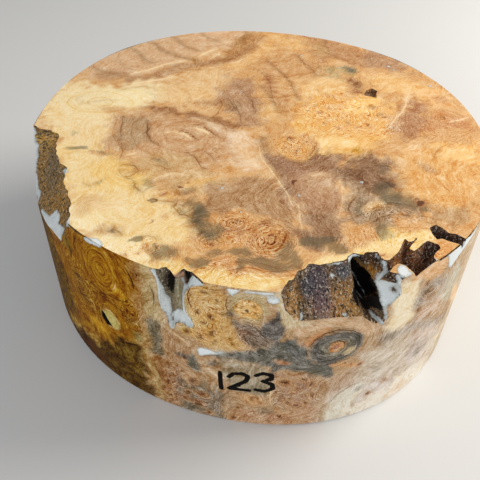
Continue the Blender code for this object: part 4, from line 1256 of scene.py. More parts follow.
for route, width, strength in (
    (((-31, 15), (-31.6, 19), (-33, 22)), 0.8, 0.8),
    (((-26, 33), (-24.6, 48), (-25, 60), (-23.4, 73), (-21, 82)), 0.8, 0.3),
    (((-11.6, 38), (-6, 34.6), (-1, 31.8), (3, 29.8), (5.4, 27.6)), 0.9, 0.3),
    (((-10, 46), (-7, 52), (-5.4, 60)), 0.7, 0.6),
    (((-19, 30), (-15, 34), (-12.6, 38)), 0.8, 0.7), (((19, 36.6), (21, 33.4), (22, 32)), 0.8, 0.6),
    (((27, 62), (25, 66), (24, 74)), 0.9, 0.6), (((42, 52), (50, 60), (58, 72)), 1, 0.5),
    (((36, 64), (38, 68), (40, 74)), 1, 0.6), (((4.4, 48), (5, 58), (5.4, 68)), 0.7, 0.6),
    (((-38, 37), (-35, 35.6), (-32.4, 40), (-32, 44)), 0.6, 0.8),
):
    route = [(at * DEGREE, down) for at, down in route]
    wall.tone("#DFC08A", wall.line(route, width, 3.0), 0.4 * strength)
    wall.draw(route, 0.5 * width, 1.0, 0.55 * strength, 3.0)
print("wall lines drawn")

# %% Stains, eyes and casts of the wall
for at, down, half_turn, half_down, strength in (
    (-22, 38, 1.6, 10, 0.4), (-12.5, 46, 1.2, 4, 0.7), (9, 32, 2, 8, 0.4), (15, 45, 3, 5, 0.5),
    (-10, 60, 3, 5, 0.5), (-14, 78, 4, 4, 0.6), (2, 56, 3, 5, 0.5), (4, 72, 3, 4, 0.5),
    (42, 56, 3, 3, 0.5), (28, 50, 2, 5, 0.4), (39, 14, 2.6, 5, 0.5), (30, 34, 2.4, 3, 0.5),
    (3.5, 37, 6, 4, 0.4), (7, 30, 2, 5, 0.4), (120, 50, 10, 12, 0.4), (-150, 30, 7, 9, 0.3),
):
    wall.add("grey", wall_spot(at, down, half_turn, half_down, 0.8), strength)
for at, down, half_turn, half_down, strength in (
    (-13.5, 58, 1.2, 2, 0.6), (-20, 54, 1.2, 1.6, 0.6), (0, 24, 2.4, 3.6, 0.6), (-44, 76, 5, 6, 0.5),
    (-24, 80, 2, 3, 0.3), (8, 51, 0.8, 1.2, 0.6), (-11, 75, 0.8, 1.6, 0.7), (-46, 35, 0.8, 1.6, 0.7),
    (-0.7, 10.6, 0.5, 0.8, 1), (110, 30, 2, 4, 0.7), (-120, 60, 3, 4, 0.7), (165, 20, 2, 3, 0.7),
):
    wall.add("umber_and_shade", wall_spot(at, down, half_turn, half_down), strength)
for at, down, size, strength in (
    (-11, 16, 2.6, 0.9), (-7.8, 18, 3.2, 0.9), (-9, 27, 2.8, 0.8), (-2, 30, 2.2, 0.6),
    (-10.4, 66.4, 2.6, 0.7), (1.5, 64, 2.6, 0.6), (8.3, 51.6, 2.4, 0.7), (39, 14, 2.6, 0.5),
    (42, 18, 2.4, 0.5), (130, 30, 5, 0.6), (-130, 44, 6, 0.6), (-165, 55, 5, 0.5),
):
    wall.eye(at * DEGREE, down, size, strength=strength)

# The amber side is painted deeper, with little blue in it: partly its amber wood, partly painted shade of
# the side turned from the light. The lit side gets a thin pale veil: partly wax, partly painted sheen.
AMBER_AND_SHADE_CAST = 0.45
WALL_DOT_GROWTH = 1.35
amber_and_shaded_side = ease_between(-24.5, -29.0, azimuth) * ease_between(-110.0, -80.0, azimuth)
wall.tint[:, 2] *= 1.0 - (1.0 - AMBER_AND_SHADE_CAST) * amber_and_shaded_side
WAX_AND_SHEEN_VEIL = "#EBE6DC"
lit_side = ease_between(140.0, 80.0, azimuth)
wall.tone(WAX_AND_SHEEN_VEIL, ease_between(-25.0, -17.0, azimuth) * lit_side, 0.11)
wall.tone(WAX_AND_SHEEN_VEIL, ease_between(20.0, 32.0, azimuth) * ease_between(56.0, 44.0, azimuth), 0.1)
low_right = ease_between(12.0, 26.0, azimuth) * ease_between(50.0, 66.0, below)
wall.tone(WAX_AND_SHEEN_VEIL, low_right * ease_between(60.0, 46.0, azimuth), 0.45)
for pale, dark, table in (
    (
        "#D9B36A", "#74441C",
        (
            (-13.6, 27.6, 1.5), (-11, 16, 1.2), (-8, 18, 1.4), (-8, 26, 1.1), (-9.6, 21.5, 1),
            (-10.6, 29.6, 1.1),
            (-5.2, 27.5, 0.8), (-2.6, 29.8, 0.9), (-10.2, 5, 0.9), (-7.4, 9.5, 0.9), (-12, 8.5, 0.8),
            (-6.4, 22, 0.7),
            (-7.6, 31, 0.9), (-11.6, 24, 0.7), (-1.6, 8.6, 0.6), (0.8, 8.4, 0.5), (-1.8, 12.4, 0.5),
            (0.6, 13.6, 0.6), (-0.6, 10.8, 0.6), (-0.8, 15.8, 0.5), (-2.8, 10, 0.5), (-9, 12, 0.6),
            (-4, 30.6, 0.7),
        ),
    ),
    (
        "#C99A62", "#6B3C24",
        (
            (8.3, 52, 1.5), (12, 50, 1.2), (13.6, 54, 1.1), (10.5, 57, 1), (9, 65, 1.2), (11, 68, 1.3),
            (12.8, 64.6, 0.9), (1.2, 63, 1), (3, 65, 0.9), (0.4, 66.4, 0.8), (2.2, 61.6, 0.7),
            (7.4, 75, 1),
            (5, 78.6, 0.9), (9.8, 73, 0.9), (6.8, 70.6, 0.7), (14, 60.4, 0.8), (-13.6, 58, 1.7),
            (-10.4, 66.4, 1.5),
            (-11.6, 74.4, 1.5), (-15, 72.6, 1.1), (-19.4, 58, 1.1), (-20.2, 64, 1.3), (-19.4, 68, 1.2),
            (-20.2, 73.6, 1.3), (-17.6, 77.6, 1.1), (-20, 53, 1), (-8.6, 79, 1), (-2.6, 78.6, 0.9),
            (10, 45.6, 1), (22, 43, 0.8), (24.2, 44.6, 0.7), (20.6, 42.6, 0.6), (-8, 61, 0.8),
            (-14, 66.6, 1),
            (37.5, 8, 1.1), (38.6, 15, 1.4), (40.4, 19.4, 1.1), (36.6, 24.4, 1), (33, 63, 1.2),
            (29, 69.6, 0.9),
            (130, 30, 2), (136, 36, 1.4), (-130, 44, 2.2), (-124, 50, 1.5), (-165, 55, 2),
            (-100, 64, 1.6),
            (96, 58, 1.8), (170, 24, 1.6),
        ),
    ),
):
    wall.dots([(at * DEGREE, down, WALL_DOT_GROWTH * size) for at, down, size in table], pale, dark)
print("wall painted:", len(WALL_AREAS), "areas")

# %% [markdown]
# ## Bark, wax and ink
#
# The bark in the voids has its own tones: golden brown in the left void, olive and pink inside the
# fork, black deep in the front void with bluish and violet grains beside it. The fork's olive flank and
# the near-black deep in the front void, down the fork's pocket, along the groove and in the slit are
# partly bark, partly painted shade of places that are deep or turned from the light. Melted wax was
# brushed round the voids. It dried white where it is thick. Wax and ink are stored as distances to
# their outlines, so that the material can draw their edges sharper than the points of the skin.

# %% Bark tones
hollow = Skin(around, below, 21, "#6B4A2C", loose=0.25)


def hollow_spot(at, down, half_turn, half_down, soft=0.5):
    """Mask of a soft ellipse on the bark, from degrees and millimetres."""
    return hollow.spot(at * DEGREE, down, half_turn * DEGREE, half_down, 0.0, soft)


# The olive greys on the fork's right flank (#A39A7C, #8F805C) and the near-black down its pocket
# (#3A2A1C) and under its top right edge (#2C2015) are partly bark, partly painted shade.
for tone, at, down, half_turn, half_down, strength in (
    ("#B48A4A", -66, 10, 24, 16, 1), ("#D0A355", -84, 3, 5, 5, 0.9),
    ("#8E7652", -72, 7, 8, 6, 0.8), ("#BC8F48", -58, 4, 9, 5, 0.9),
    ("#5A4430", -86, 1, 2.5, 1.6, 0.6), ("#A27838", -50, 5, 5, 6, 0.8),
    ("#8C8268", -18.8, 8, 1.6, 8, 0.9), ("#3A2A1C", -17.9, 7, 0.9, 8, 1),
    ("#A39A7C", -16, 14, 2, 12, 0.95), ("#8F805C", -15.4, 10, 0.8, 5, 0.7),
    ("#C79C7E", -16.4, 2.5, 1.3, 4.5, 0.95), ("#2C2015", -14.2, 1.6, 1.2, 2.2, 1),
    ("#80684A", 12, 8, 8, 9, 0.9), ("#96744A", 19, 10, 5, 7, 0.8),
    ("#4A5058", 11.4, 5, 1.6, 3, 0.8), ("#59616B", 20.6, 3, 2.4, 2.6, 0.8),
    ("#8B7288", 15, 11.5, 1.8, 2.4, 0.8), ("#5C646C", 15, 13.5, 1.4, 1.2, 0.7),
    ("#A8824C", 21.5, 12.5, 2.6, 4, 0.85), ("#A0702C", 27, 5.5, 1.3, 3.4, 0.95),
    ("#4A3220", 27, 1.2, 2.6, 2.2, 0.95), ("#54422C", 27.2, 17.5, 1.2, 4.4, 1),
    ("#2A1B12", 24.6, 2, 1.2, 3, 0.8), ("#7E4C28", 36, 4, 7, 8, 0.85),
    ("#3E2823", 43, 2, 5, 5, 0.8), ("#8A5A30", 38.5, 1, 1.6, 1.6, 0.7),
    ("#94602E", 122, 0.6, 4, 3, 0.9), ("#BC8A4C", 17, 11, 5, 3.6, 0.6),
    ("#BE8E50", 8.6, 8, 1.6, 5, 0.6), ("#5E5666", 14, 6, 2.6, 7, 0.7), ("#A8702E", 32, 3, 1.4, 2, 0.7),
):
    hollow.tone(tone, hollow_spot(at, down, half_turn, half_down), strength)
hollow.add("lace", np.ones(point_count), 1.0)
for at, down, half_turn, half_down, strength in (
    (-16, 12, 2.4, 12, 1), (39, 4, 8.5, 9, 0.1), (27.3, 17, 1.2, 4.5, 1), (-16.4, 3, 1.4, 4, 0.8),
    (27, 5.5, 1.3, 3.2, 0.4),
):
    hollow.take("lace", hollow_spot(at, down, half_turn, half_down), strength)
# Painted shade: the umber mask of the bark darkens the groove, the front cavity, the fork's pocket and
# the slit toward near black.
groove = [(13.2, 1.5), (12.6, 4.1), (12.2, 6.9), (11.5, 9.2), (11.2, 11.2), (10.9, 13.0)]
hollow.add("umber_and_shade", hollow.line([(at * DEGREE, down) for at, down in groove], 1.3, 3.0), 0.55)
for at, down, half_turn, half_down, strength in (
    (25.4, 14, 2, 5, 1), (23.2, 10.5, 2, 3, 0.9), (26, 9, 0.9, 2.6, 0.9),
    (-17.9, 8, 0.55, 6.5, 0.85), (-14.2, 1.4, 1, 1.6, 0.9), (29, 1, 1.2, 1.4, 0.6),
    (-37, 42.6, 2.2, 4.6, 0.9),
):
    hollow.add("umber_and_shade", hollow_spot(at, down, half_turn, half_down, 0.4), strength)
# Painted shade: the deeper a point lies inside the wall and below the face, the darker its bark.
hollow.add("umber_and_shade", ease_between(10.0, 15.0, inset) * ease_between(6.0, 9.0, below), 1.0)
print("bark painted")

# %% Outlines of the wax
WALL_WAX = {
    "left lip": (
        (-87.5, 0), (-86.3, 1.9), (-85.1, 4.7), (-84.8, 6.4), (-83.7, 8.3), (-82.6, 10.8),
        (-81.2, 11.8), (-80.3, 13.4), (-79.3, 15.8), (-77.9, 17.9), (-74.9, 18.6), (-69.8, 16.8),
        (-68, 18.4), (-70.5, 19.6), (-75, 22), (-79, 21.2), (-82, 16.5), (-84.5, 11.5),
        (-87, 6), (-89, 1),
    ),
    "left foot": (
        (-64.5, 15.4), (-61.9, 14.4), (-59.8, 13.4), (-58.6, 12.8), (-58, 10.5), (-56.7, 8.6),
        (-55.2, 9.4), (-53.6, 10.6), (-52, 10.4), (-50.4, 9.4), (-48.6, 9.2), (-49.2, 11.8),
        (-50.3, 15.6), (-52.6, 15.4), (-55.6, 15.8), (-58.4, 17.2), (-61, 17.4), (-63, 16.6),
    ),
    "left chip": ((-66.8, 2.1), (-66, 0.6), (-65, -0.5), (-63.1, -0.5), (-64.2, 2.1), (-66.4, 3)),
    "left corner": ((-50.6, 7.4), (-48.5, 3.6), (-46.5, -0.5), (-43.3, -0.5), (-46.8, 4.2), (-49, 7.4)),
    "fork band": (
        (-21.8, -0.5), (-20.6, -0.4), (-19.9, 2.5), (-19.4, 4.9), (-19.1, 7.4), (-18.9, 9.7),
        (-18.8, 12.7), (-18.5, 15.3), (-18.2, 16.6), (-18.1, 18.6), (-17.7, 21.1), (-17.7, 24.8),
        (-17.3, 27.2), (-17.1, 29.4), (-17.9, 29.8), (-18.3, 27.5), (-18.5, 23.3), (-18.9, 21),
        (-19.4, 20.7), (-19.9, 18.6), (-20.2, 15), (-20.2, 10.8), (-20, 7), (-20.2, 4.2),
        (-21, 2.1),
    ),
    "fork floor": (
        (-17.5, 22), (-16.3, 21.4), (-15.2, 21), (-14.2, 21.6), (-13.2, 22.6), (-12.3, 23.6),
        (-12.9, 25.4), (-13.9, 25.6), (-14.6, 24.4), (-15.5, 24.1), (-16.5, 25.3), (-17, 28.6),
        (-17.8, 27.6), (-17.5, 26.1), (-17.9, 23.4),
    ),
    "fork right edge": (
        (-10.2, -0.5), (-9.4, -0.5), (-9.6, 1), (-10.8, 1.9), (-12.2, 3), (-13.2, 4.8),
        (-13.9, 7.4), (-14.1, 10.2), (-14.2, 14.3), (-14, 17.3), (-13.2, 19.4), (-12.4, 22.2),
        (-12.2, 24.4), (-13.3, 23), (-14, 20.4), (-15, 18.6), (-15.1, 14), (-15, 9.6),
        (-14.8, 7.4), (-14.7, 5.2), (-13.6, 3.8), (-13.2, 1.8), (-12.3, -0.5),
    ),
    "fork tongue": ((-17.2, 9.1), (-17, 8.1), (-16, 5.7), (-15.3, 4.5), (-14.5, 3.9), (-14.7, 5.6),
        (-16.2, 7)),
    "front chip": ((21.8, 1.6), (22.4, -0.5), (24.8, -0.5), (25.6, 1.4), (25.2, 2.7), (24, 2),
        (22.6, 2.4)),
    "front thread": ((17, 1.6), (17, -0.5), (20.6, -0.5), (20.4, 0.5), (18.9, 1.2), (17.7, 0.9)),
    "front crumb": ((16.8, 3.3), (17.3, 4.6), (18.3, 3.7), (17.6, 3.1)),
    "front foot": ((10.6, 11.8), (10.1, 14), (9.3, 14), (9.8, 12.6)),
    "front ledge": ((18, 13.2), (19.6, 13.8), (19.4, 14.5), (18.2, 14.2)),
    "curtain": (
        (27.2, 5.8), (27.8, 4.6), (28.4, 3.4), (28.9, 2.9), (29.3, 4.5), (29, 6.6), (29, 8.9),
        (29.5, 8.4), (30.1, 9), (29.6, 10.5), (28.8, 12), (27.8, 13.3), (27.4, 14),
        (27.7, 15.6), (28.2, 18.1), (28.4, 19.7), (28.1, 21.2), (27.7, 21), (27.8, 19.3),
        (27.3, 16.9), (26.9, 14.5), (26.7, 13.1), (26.8, 11.7), (27, 10.2), (26.9, 9),
        (27, 7.6),
    ),
    "curtain bead": (
        (28.7, -0.5), (29.6, -0.5), (29.3, 1.6), (29.5, 4), (30.2, 7.5), (30.3, 9.2), (29.4, 9.4),
        (29.3, 7.5), (28.6, 3.4), (28.4, 1.4),
    ),
    "front lip": (
        (25.1, 18.4), (25.8, 18.9), (26.3, 19.7), (27, 20.9), (27.6, 21.8), (28.2, 23.6),
        (27.5, 23.9), (26.6, 22.2), (25.8, 20.9), (25.2, 19.6),
    ),
    "middle chip": ((-5.6, -0.5), (-2.2, -0.5), (-2.6, 0.9), (-4.4, 4.6), (-4.9, 2.4)),
    "middle strip": ((-2.6, -0.5), (4.4, -0.5), (4.3, 1.4), (2, 1.9), (0.4, 1.3), (-1.2, 1.7)),
    "middle spot": ((2.8, 2.6), (5.2, 2.4), (5.5, 4.6), (4.4, 6), (2.9, 5.2)),
    "crack": (
        (-11.7, 36.2), (-10.8, 35.2), (-7.5, 35.6), (-4.6, 34.2), (-6.2, 37), (-9, 38.8),
        (-10.5, 40.6), (-11.5, 40.8), (-11.9, 38.5),
    ),
    "left rim": ((-39.4, -0.5), (-33.4, -0.5), (-34.2, 0.7), (-36, 1.3), (-37.8, 2), (-39.2, 1.8)),
    "right rim": (
        (41, -0.5), (54.5, -0.5), (53, 1.5), (50, 3.8), (47, 6.6), (44.5, 10),
        (43, 8.5), (42.4, 4.5),
    ),
    "right speck": ((23.3, 43), (24.3, 43.2), (24.2, 44.2), (23.4, 44)),
}
FACE_WAX = {
    "knob": (
        (48.8, -86.2), (49.5, -84.1), (50.5, -83.1), (52, -83.6), (52.9, -85), (53.6, -86.2),
        (54.6, -86.9), (53, -88.3), (51.2, -89.3), (49.9, -90), (49.2, -88.2),
    ),
    "sliver": (
        (62.4, -78.6), (64.2, -80), (61.6, -82.5), (59.7, -84.2), (58.8, -84.8), (60.6, -82),
    ),
    "left rim": (
        (-61.6, -75.8), (-59, -76.7), (-56.5, -76.7), (-54.2, -78.4), (-53.6, -80.4),
        (-54.8, -81.4), (-57.3, -79.6), (-59.6, -77.9),
    ),
    "left corner": ((-69.1, -65.6), (-68.2, -68.7), (-67.5, -71.6), (-71, -68)),
    "left notch": ((-78.6, -37.6), (-76, -37), (-76.4, -39), (-79.8, -39.4)),
}
print("wax films:", len(WALL_WAX) + len(FACE_WAX))

# %% Digits and specks
DIGITS = (
    ((-6.6, 48.6), (-6.5, 54), (-6.3, 59.4)),
    ((-4.6, 50.6), (-3.7, 48.2), (-1.7, 47.2), (-0.3, 48.6), (-0.8, 51.6), (-2.8, 55.2),
     (-4.5, 58.4), (-2.2, 57.8), (0.1, 57.6)),
    ((1.3, 47.4), (2.8, 45.6), (4.8, 46.4), (4.9, 48.8), (2.9, 50.8), (5.1, 52.2),
     (5.4, 55.4), (3.6, 57.4), (1.4, 56.8)),
)
INK_WIDTH = 2.1
FACE_SPECKS = (
    (20, 70.5, 0.9), (65, 62, 1.1), (67, 58.6, 0.8), (57, 70, 0.6), (16.3, -47.5, 0.9), (41.5, -37.5, 1),
    (0, -35.5, 0.6), (69, -33, 0.7), (-14, -45, 0.9), (-6, -59, 0.6), (22, 15, 0.7), (83, 43, 0.9),
    (66, -29.5, 0.6), (13, 6, 0.6), (47, 73, 0.6), (-79, -37.4, 0.8), (48, -33.5, 0.6), (-10, 30, 0.5),
)
print("digits:", len(DIGITS), "specks:", len(FACE_SPECKS))

# %% Lay wax and ink
FAR = -9.0
on_face = height > THICKNESS - 0.01
wax = np.full(point_count, FAR)
for name, outline in WALL_WAX.items():
    inside = hollow.patch(outline, DEGREE)
    left_out = on_face | ((inset > 0.6) & (name == "right rim"))
    wax = np.where(left_out, wax, np.maximum(wax, inside))
for outline in FACE_WAX.values():
    inside = depth_inside(outline, x, y)
    wax = np.where(below < 0.7, np.maximum(wax, inside), wax)
for u, v, size in FACE_SPECKS:
    speck = size - np.hypot(x - u, y - v)
    wax = np.where(on_face, np.maximum(wax, speck), wax)
ink = np.full(point_count, FAR)
for route in DIGITS:
    away, _, _ = hollow.follow([(at * DEGREE, down) for at, down in route])
    ink = np.maximum(ink, INK_WIDTH / 2.0 - abs(away))
print("waxed points:", int((wax > 0.0).sum()), "inked points:", int((ink > 0.0).sum()))

# %% Store the paint on the skin
def store(name, kind, values):
    """Writes one named attribute to the points of the burl."""
    layer = burl.data.attributes.new(name, kind, "POINT")
    field = "color" if kind == "FLOAT_COLOR" else "vector"
    layer.data.foreach_set(field, np.ascontiguousarray(values, np.float32).ravel())


store("cover", "FLOAT_VECTOR", np.stack([wax, ink, np.zeros(point_count)], 1))
for prefix, skin in (("face", face), ("wall", wall), ("hollow", hollow)):
    store(prefix + "_tint", "FLOAT_COLOR", np.hstack([skin.tint, np.ones((point_count, 1))]))
    store(prefix + "_grain", "FLOAT_VECTOR", np.stack([skin.flow, skin.grain_u, skin.v], 1))
    for kind, names in PAINT.items():
        if kind == "stain" or skin is not hollow:
            masks = [skin.masks[name] for name in names]
            store(f"{prefix}_{kind}", "FLOAT_VECTOR", np.stack(masks, 1))
print("attributes:", [layer.name for layer in burl.data.attributes])

# %% [markdown]
# ## The wood
#
# One recipe serves both sawn surfaces. The soft painted colour comes first. Over it lie fine fibres,
# growth rings with one sharp side, the gold lace of the burl, and the stains, each broken up by noise
# whose scale is given in lumps per millimetre. Fibres of real maple are finer than a picture shows, so
# they are drawn about 0.6 mm wide. Wax covers some of the wood, and ink is drawn on it.

# %% Shader helpers
SMOOTH = {"interpolation_type": "SMOOTHSTEP"}
COLOURS = {"data_type": "RGBA", "output": 2}


def read_paint(tree, name):
    """The outputs of a painted attribute, and its three parts."""
    paint = add_node(tree, "Attribute", attribute_name=name).node.outputs
    parts = add_node(tree, "SeparateXYZ", [paint["Vector"]]).node.outputs
    return paint, parts


def in_millimetres(tree):
    """Object coordinates in millimetres."""
    metres = add_node(tree, "TexCoord", output="Object")
    return add_node(tree, "Mapping", {"Vector": metres, "Scale": (1 / MM, 1 / MM, 1 / MM)})


def lumps(tree, vector, per_mm, detail, rough, twist=0.0):
    """Noise, 0 to 1, with so many lumps per millimetre: one number, or one for each axis."""
    scale = per_mm if isinstance(per_mm, tuple) else (per_mm, per_mm, per_mm)
    squeezed = add_node(tree, "Mapping", {"Vector": vector, "Scale": scale})
    inputs = {"Vector": squeezed, "Scale": 1.0, "Detail": detail, "Roughness": rough}
    return add_node(tree, "TexNoise", {**inputs, "Distortion": twist})


def faded(tree, share, value, *ends):
    """A share times a smooth ramp of a value: the ramp's two ends, then its two levels."""
    ramp = add_node(tree, "MapRange", [value, *ends], **SMOOTH)
    return add_node(tree, "Math", [share, ramp], operation="MULTIPLY")


def swing(tree, value, amount, total):
    """Adds a noise, swung about its middle, to a running total."""
    centred = add_node(tree, "Math", [0.5, value], operation="SUBTRACT")
    return add_node(tree, "Math", [centred, amount, total], operation="MULTIPLY_ADD")


def broken_up(tree, mask, ragged, start, full, most, fade):
    """The share of a stain: its painted mask broken up by noise, and nothing off the mask."""
    share = add_node(tree, "Math", [mask, ragged], operation="ADD")
    share = add_node(tree, "MapRange", [share, start, full, 0.0, most], **SMOOTH)
    return faded(tree, share, mask, 0.0, fade)


# %% Wax and ink over a wood or bark colour
# Brushed wax is a grey film where it is thin and white where it ran thick, and a little shinier.
THIN_WAX = to_linear("#A9ADA6")
THICK_WAX = to_linear("#DDE3E2")
INK = to_linear("#0D0A08")
WAX_ROUGHNESS = 0.33


def wax_and_ink(tree, colour, roughness, relief, crumbs, smooth):
    """Lays brushed wax and felt-tip ink over the colour, roughness and relief of a surface."""
    _, (wax, ink, _) = read_paint(tree, "cover")
    edge = add_node(tree, "Math", [wax, 0.45], operation="SUBTRACT")
    edge = add_node(tree, "Math", [crumbs, 0.9, edge], operation="MULTIPLY_ADD")
    film = add_node(tree, "MapRange", [edge, -0.12, 0.22], **SMOOTH)
    thick = add_node(tree, "Math", [edge, crumbs], operation="ADD")
    thick = add_node(tree, "MapRange", [thick, 0.3, 1.6], **SMOOTH)
    white = add_node(tree, "Mix", {0: thick, 6: THIN_WAX, 7: THICK_WAX}, **COLOURS)
    hiding = faded(tree, film, thick, 0.0, 0.5, 0.62, 0.95)
    hiding = faded(tree, hiding, crumbs, 0.70, 0.62, 0.35, 1.0)
    colour = add_node(tree, "Mix", {0: hiding, 6: colour, 7: white}, **COLOURS)
    written = add_node(tree, "Math", [crumbs, 0.3, ink], operation="MULTIPLY_ADD")
    written = add_node(tree, "MapRange", [written, 0.05, 0.3], **SMOOTH)
    colour = add_node(tree, "Mix", {0: written, 6: colour, 7: INK}, **COLOURS)
    roughness = add_node(tree, "Mix", {0: film, 2: roughness, 3: WAX_ROUGHNESS})
    relief = add_node(tree, "Math", [film, smooth, relief], operation="MULTIPLY_ADD")
    return colour, roughness, relief


# %% Sawn maple
RAY = to_linear("#F4D7A8")
SPALT_FILTER = to_linear("#AAA592")
SPALT = to_linear("#716D58")
BARK_STAIN = to_linear("#5C3A1F")
FIBRES_PER_MM = (1.7, 0.32, 0.32)
WAVES_PER_MM = (0.42, 0.12, 0.12)
MOTTLES_PER_MM = (0.5, 0.3, 0.3)
KNOTS_PER_MM = (0.22, 0.15, 0.15)
CLOUD = 6.0
GRIT = 0.6
RING_DRIFT = 30.0
CRUMB = 1.3
SAWN_RELIEF = 0.05


def sawn_maple(name, prefix, boldness, mottling, lace_depth, coat, mirror):
    """Sawn burl, from the paint of one surface. Coat and mirror say how its sealed skin shines."""
    material, tree = new_material(name)
    place = in_millimetres(tree)
    tint = read_paint(tree, prefix + "_tint")[0]["Color"]
    _, (grey, umber_and_shade, lace) = read_paint(tree, prefix + "_stain")
    _, (ring, ring_strength, bold) = read_paint(tree, prefix + "_figure")
    _, (line_away, line_shown, line_kind) = read_paint(tree, prefix + "_line")

    # The painted flow gives the direction of the fibres: it changes fast across them, slowly along.
    flow = read_paint(tree, prefix + "_grain")[0]["Vector"]
    fibres = lumps(tree, flow, FIBRES_PER_MM, 3.0, 0.6)
    waves = lumps(tree, flow, WAVES_PER_MM, 3.0, 0.6, 0.3)
    mottle = lumps(tree, flow, MOTTLES_PER_MM, 4.0, 0.65, 0.8)
    knots = lumps(tree, flow, KNOTS_PER_MM, 1.5, 0.45, 1.0)
    clouds = lumps(tree, place, 1 / CLOUD, 5.0, 0.65, 0.5)
    grit = lumps(tree, place, 1 / GRIT, 2.0, 0.7)
    drift = lumps(tree, place, 1 / RING_DRIFT, 1.0, 0.3)

    # Depth of the colour: above 1 it is deeper and browner, below 1 paler.
    bolder = add_node(tree, "Math", [bold, boldness, 0.8], operation="MULTIPLY_ADD")
    deep = swing(tree, fibres, 1.2, 1.0)
    deep = swing(tree, waves, bolder, deep)
    deep = swing(tree, clouds, 1.2, deep)
    deep = swing(tree, grit, 1.6, deep)
    deep = swing(tree, mottle, mottling, deep)
    paler = add_node(tree, "Math", [deep, 0.65, 0.35], operation="MULTIPLY_ADD")
    deep = add_node(tree, "Math", [deep, paler], operation="MAXIMUM")

    # Growth rings: late wood darkens slowly and ends in a thin sharp line.
    turned = add_node(tree, "Math", [drift, 1.2, ring], operation="MULTIPLY_ADD")
    turned = add_node(tree, "Math", [clouds, 0.06, turned], operation="MULTIPLY_ADD")
    phase = add_node(tree, "Math", [turned], operation="FRACT")
    late = faded(tree, ring_strength, phase, 0.6, 0.97, 0.0, 0.45)
    deep = add_node(tree, "Math", [deep, late], operation="ADD")
    thin = faded(tree, faded(tree, ring_strength, phase, 0.88, 0.95), phase, 1.0, 0.96)
    deep = add_node(tree, "Math", [thin, 0.8, deep], operation="MULTIPLY_ADD")

    # Burl lace: contour lines of a lumpy noise close round small eyes.
    contour = add_node(tree, "Math", [fibres, 0.5], operation="MULTIPLY")
    contour = add_node(tree, "Math", [knots, 11.0, contour], operation="MULTIPLY_ADD")
    contour = add_node(tree, "Math", [contour, 0.5], operation="PINGPONG")
    web = faded(tree, faded(tree, lace, contour, 0.16, 0.02), clouds, 0.35, 0.6, 0.25, 1.0)
    deep = add_node(tree, "Math", [web, lace_depth, deep], operation="MULTIPLY_ADD")
    glow = faded(tree, lace, contour, 0.25, 0.5)
    deep = add_node(tree, "Math", [glow, -0.45, deep], operation="MULTIPLY_ADD")

    # Fine drawn lines, dark where their kind is below 0 and light where it is above.
    wobble = add_node(tree, "Math", [line_away, 0.4], operation="SUBTRACT")
    wobble = add_node(tree, "Math", [grit, 0.8, wobble], operation="MULTIPLY_ADD")
    wobble = add_node(tree, "Math", [wobble], operation="ABSOLUTE")
    shown = add_node(tree, "MapRange", [line_shown, 0.05, 0.6], **SMOOTH)
    stroke = faded(tree, faded(tree, shown, wobble, 1.0, 0.25), waves, 0.25, 0.6, 0.45, 1.0)
    dark_stroke = faded(tree, stroke, line_kind, 0.3, -0.3)
    light_stroke = faded(tree, stroke, line_kind, -0.3, 0.3)
    deep = add_node(tree, "Math", [dark_stroke, 1.9, deep], operation="MULTIPLY_ADD")

    # The depth becomes a gamma. Dark tones may not be lifted by it, or they would turn grey.
    brightness = add_node(tree, "RGBToBW", [tint])
    least = add_node(tree, "MapRange", [brightness, 0.03, 0.09, 0.9, 0.35], **SMOOTH)
    deep = add_node(tree, "Math", [deep, least], operation="MAXIMUM")
    colour = add_node(tree, "Gamma", [tint, deep])
    colour = add_node(tree, "Mix", {0: light_stroke, 6: colour, 7: RAY}, **COLOURS)

    # Spalt stains filter the wood grey and bark stains cover it. Both have ragged edges.
    ragged = add_node(tree, "Math", [clouds, 1.1, -0.85], operation="MULTIPLY_ADD")
    ragged = add_node(tree, "Math", [fibres, 0.6, ragged], operation="MULTIPLY_ADD")
    ragged = swing(tree, mottle, 0.9, ragged)
    filtered = {0: 1.0, 6: colour, 7: SPALT_FILTER}
    stained = add_node(tree, "Mix", filtered, blend_type="MULTIPLY", **COLOURS)
    stained = add_node(tree, "Mix", {0: 0.35, 6: stained, 7: SPALT}, **COLOURS)
    grey_share = broken_up(tree, grey, ragged, 0.1, 0.75, 0.85, 0.4)
    colour = add_node(tree, "Mix", {0: grey_share, 6: colour, 7: stained}, **COLOURS)
    umber_share = broken_up(tree, umber_and_shade, ragged, 0.3, 0.8, 0.9, 0.25)
    colour = add_node(tree, "Mix", {0: umber_share, 6: colour, 7: BARK_STAIN}, **COLOURS)

    # Sawn and sealed wood is matt: the saw left its fibres standing, and the seal is thin.
    roughness = add_node(tree, "MapRange", [clouds, 0.3, 0.7, 0.48, 0.62], **SMOOTH)
    relief = add_node(tree, "Math", [fibres, 0.5, grit], operation="MULTIPLY_ADD")
    crumbs = lumps(tree, place, 1 / CRUMB, 3.0, 0.6)
    colour, roughness, relief = wax_and_ink(tree, colour, roughness, relief, crumbs, 4.0)
    finish_material(tree, colour, roughness, relief, SAWN_RELIEF, coat, mirror)
    return material


SEALED_FACE = {"boldness": 1.1, "mottling": 1.2, "lace_depth": 2.4, "coat": 0.06, "mirror": 0.15}
ROUGH_WALL = {"boldness": 1.6, "mottling": 2.2, "lace_depth": 2.8, "coat": 0.0, "mirror": 0.04}
burl.data.materials.append(sawn_maple("sawn maple burl, face", "face", **SEALED_FACE))
burl.data.materials.append(sawn_maple("sawn maple burl, wall", "wall", **ROUGH_WALL))
print("sawn surfaces:", len(burl.data.materials))

# %% [markdown]
# ## The underside and the trapped bark
#
# The underside is the same wood, but nobody sees it here, so it stays quiet. Bark is dry cork in plates
# and crumbs of about a millimetre. It is rough and has no shine, its cracks are black, and chips of it
# catch pale dust. Noise at those sizes does this well, over the tones that were painted on it.

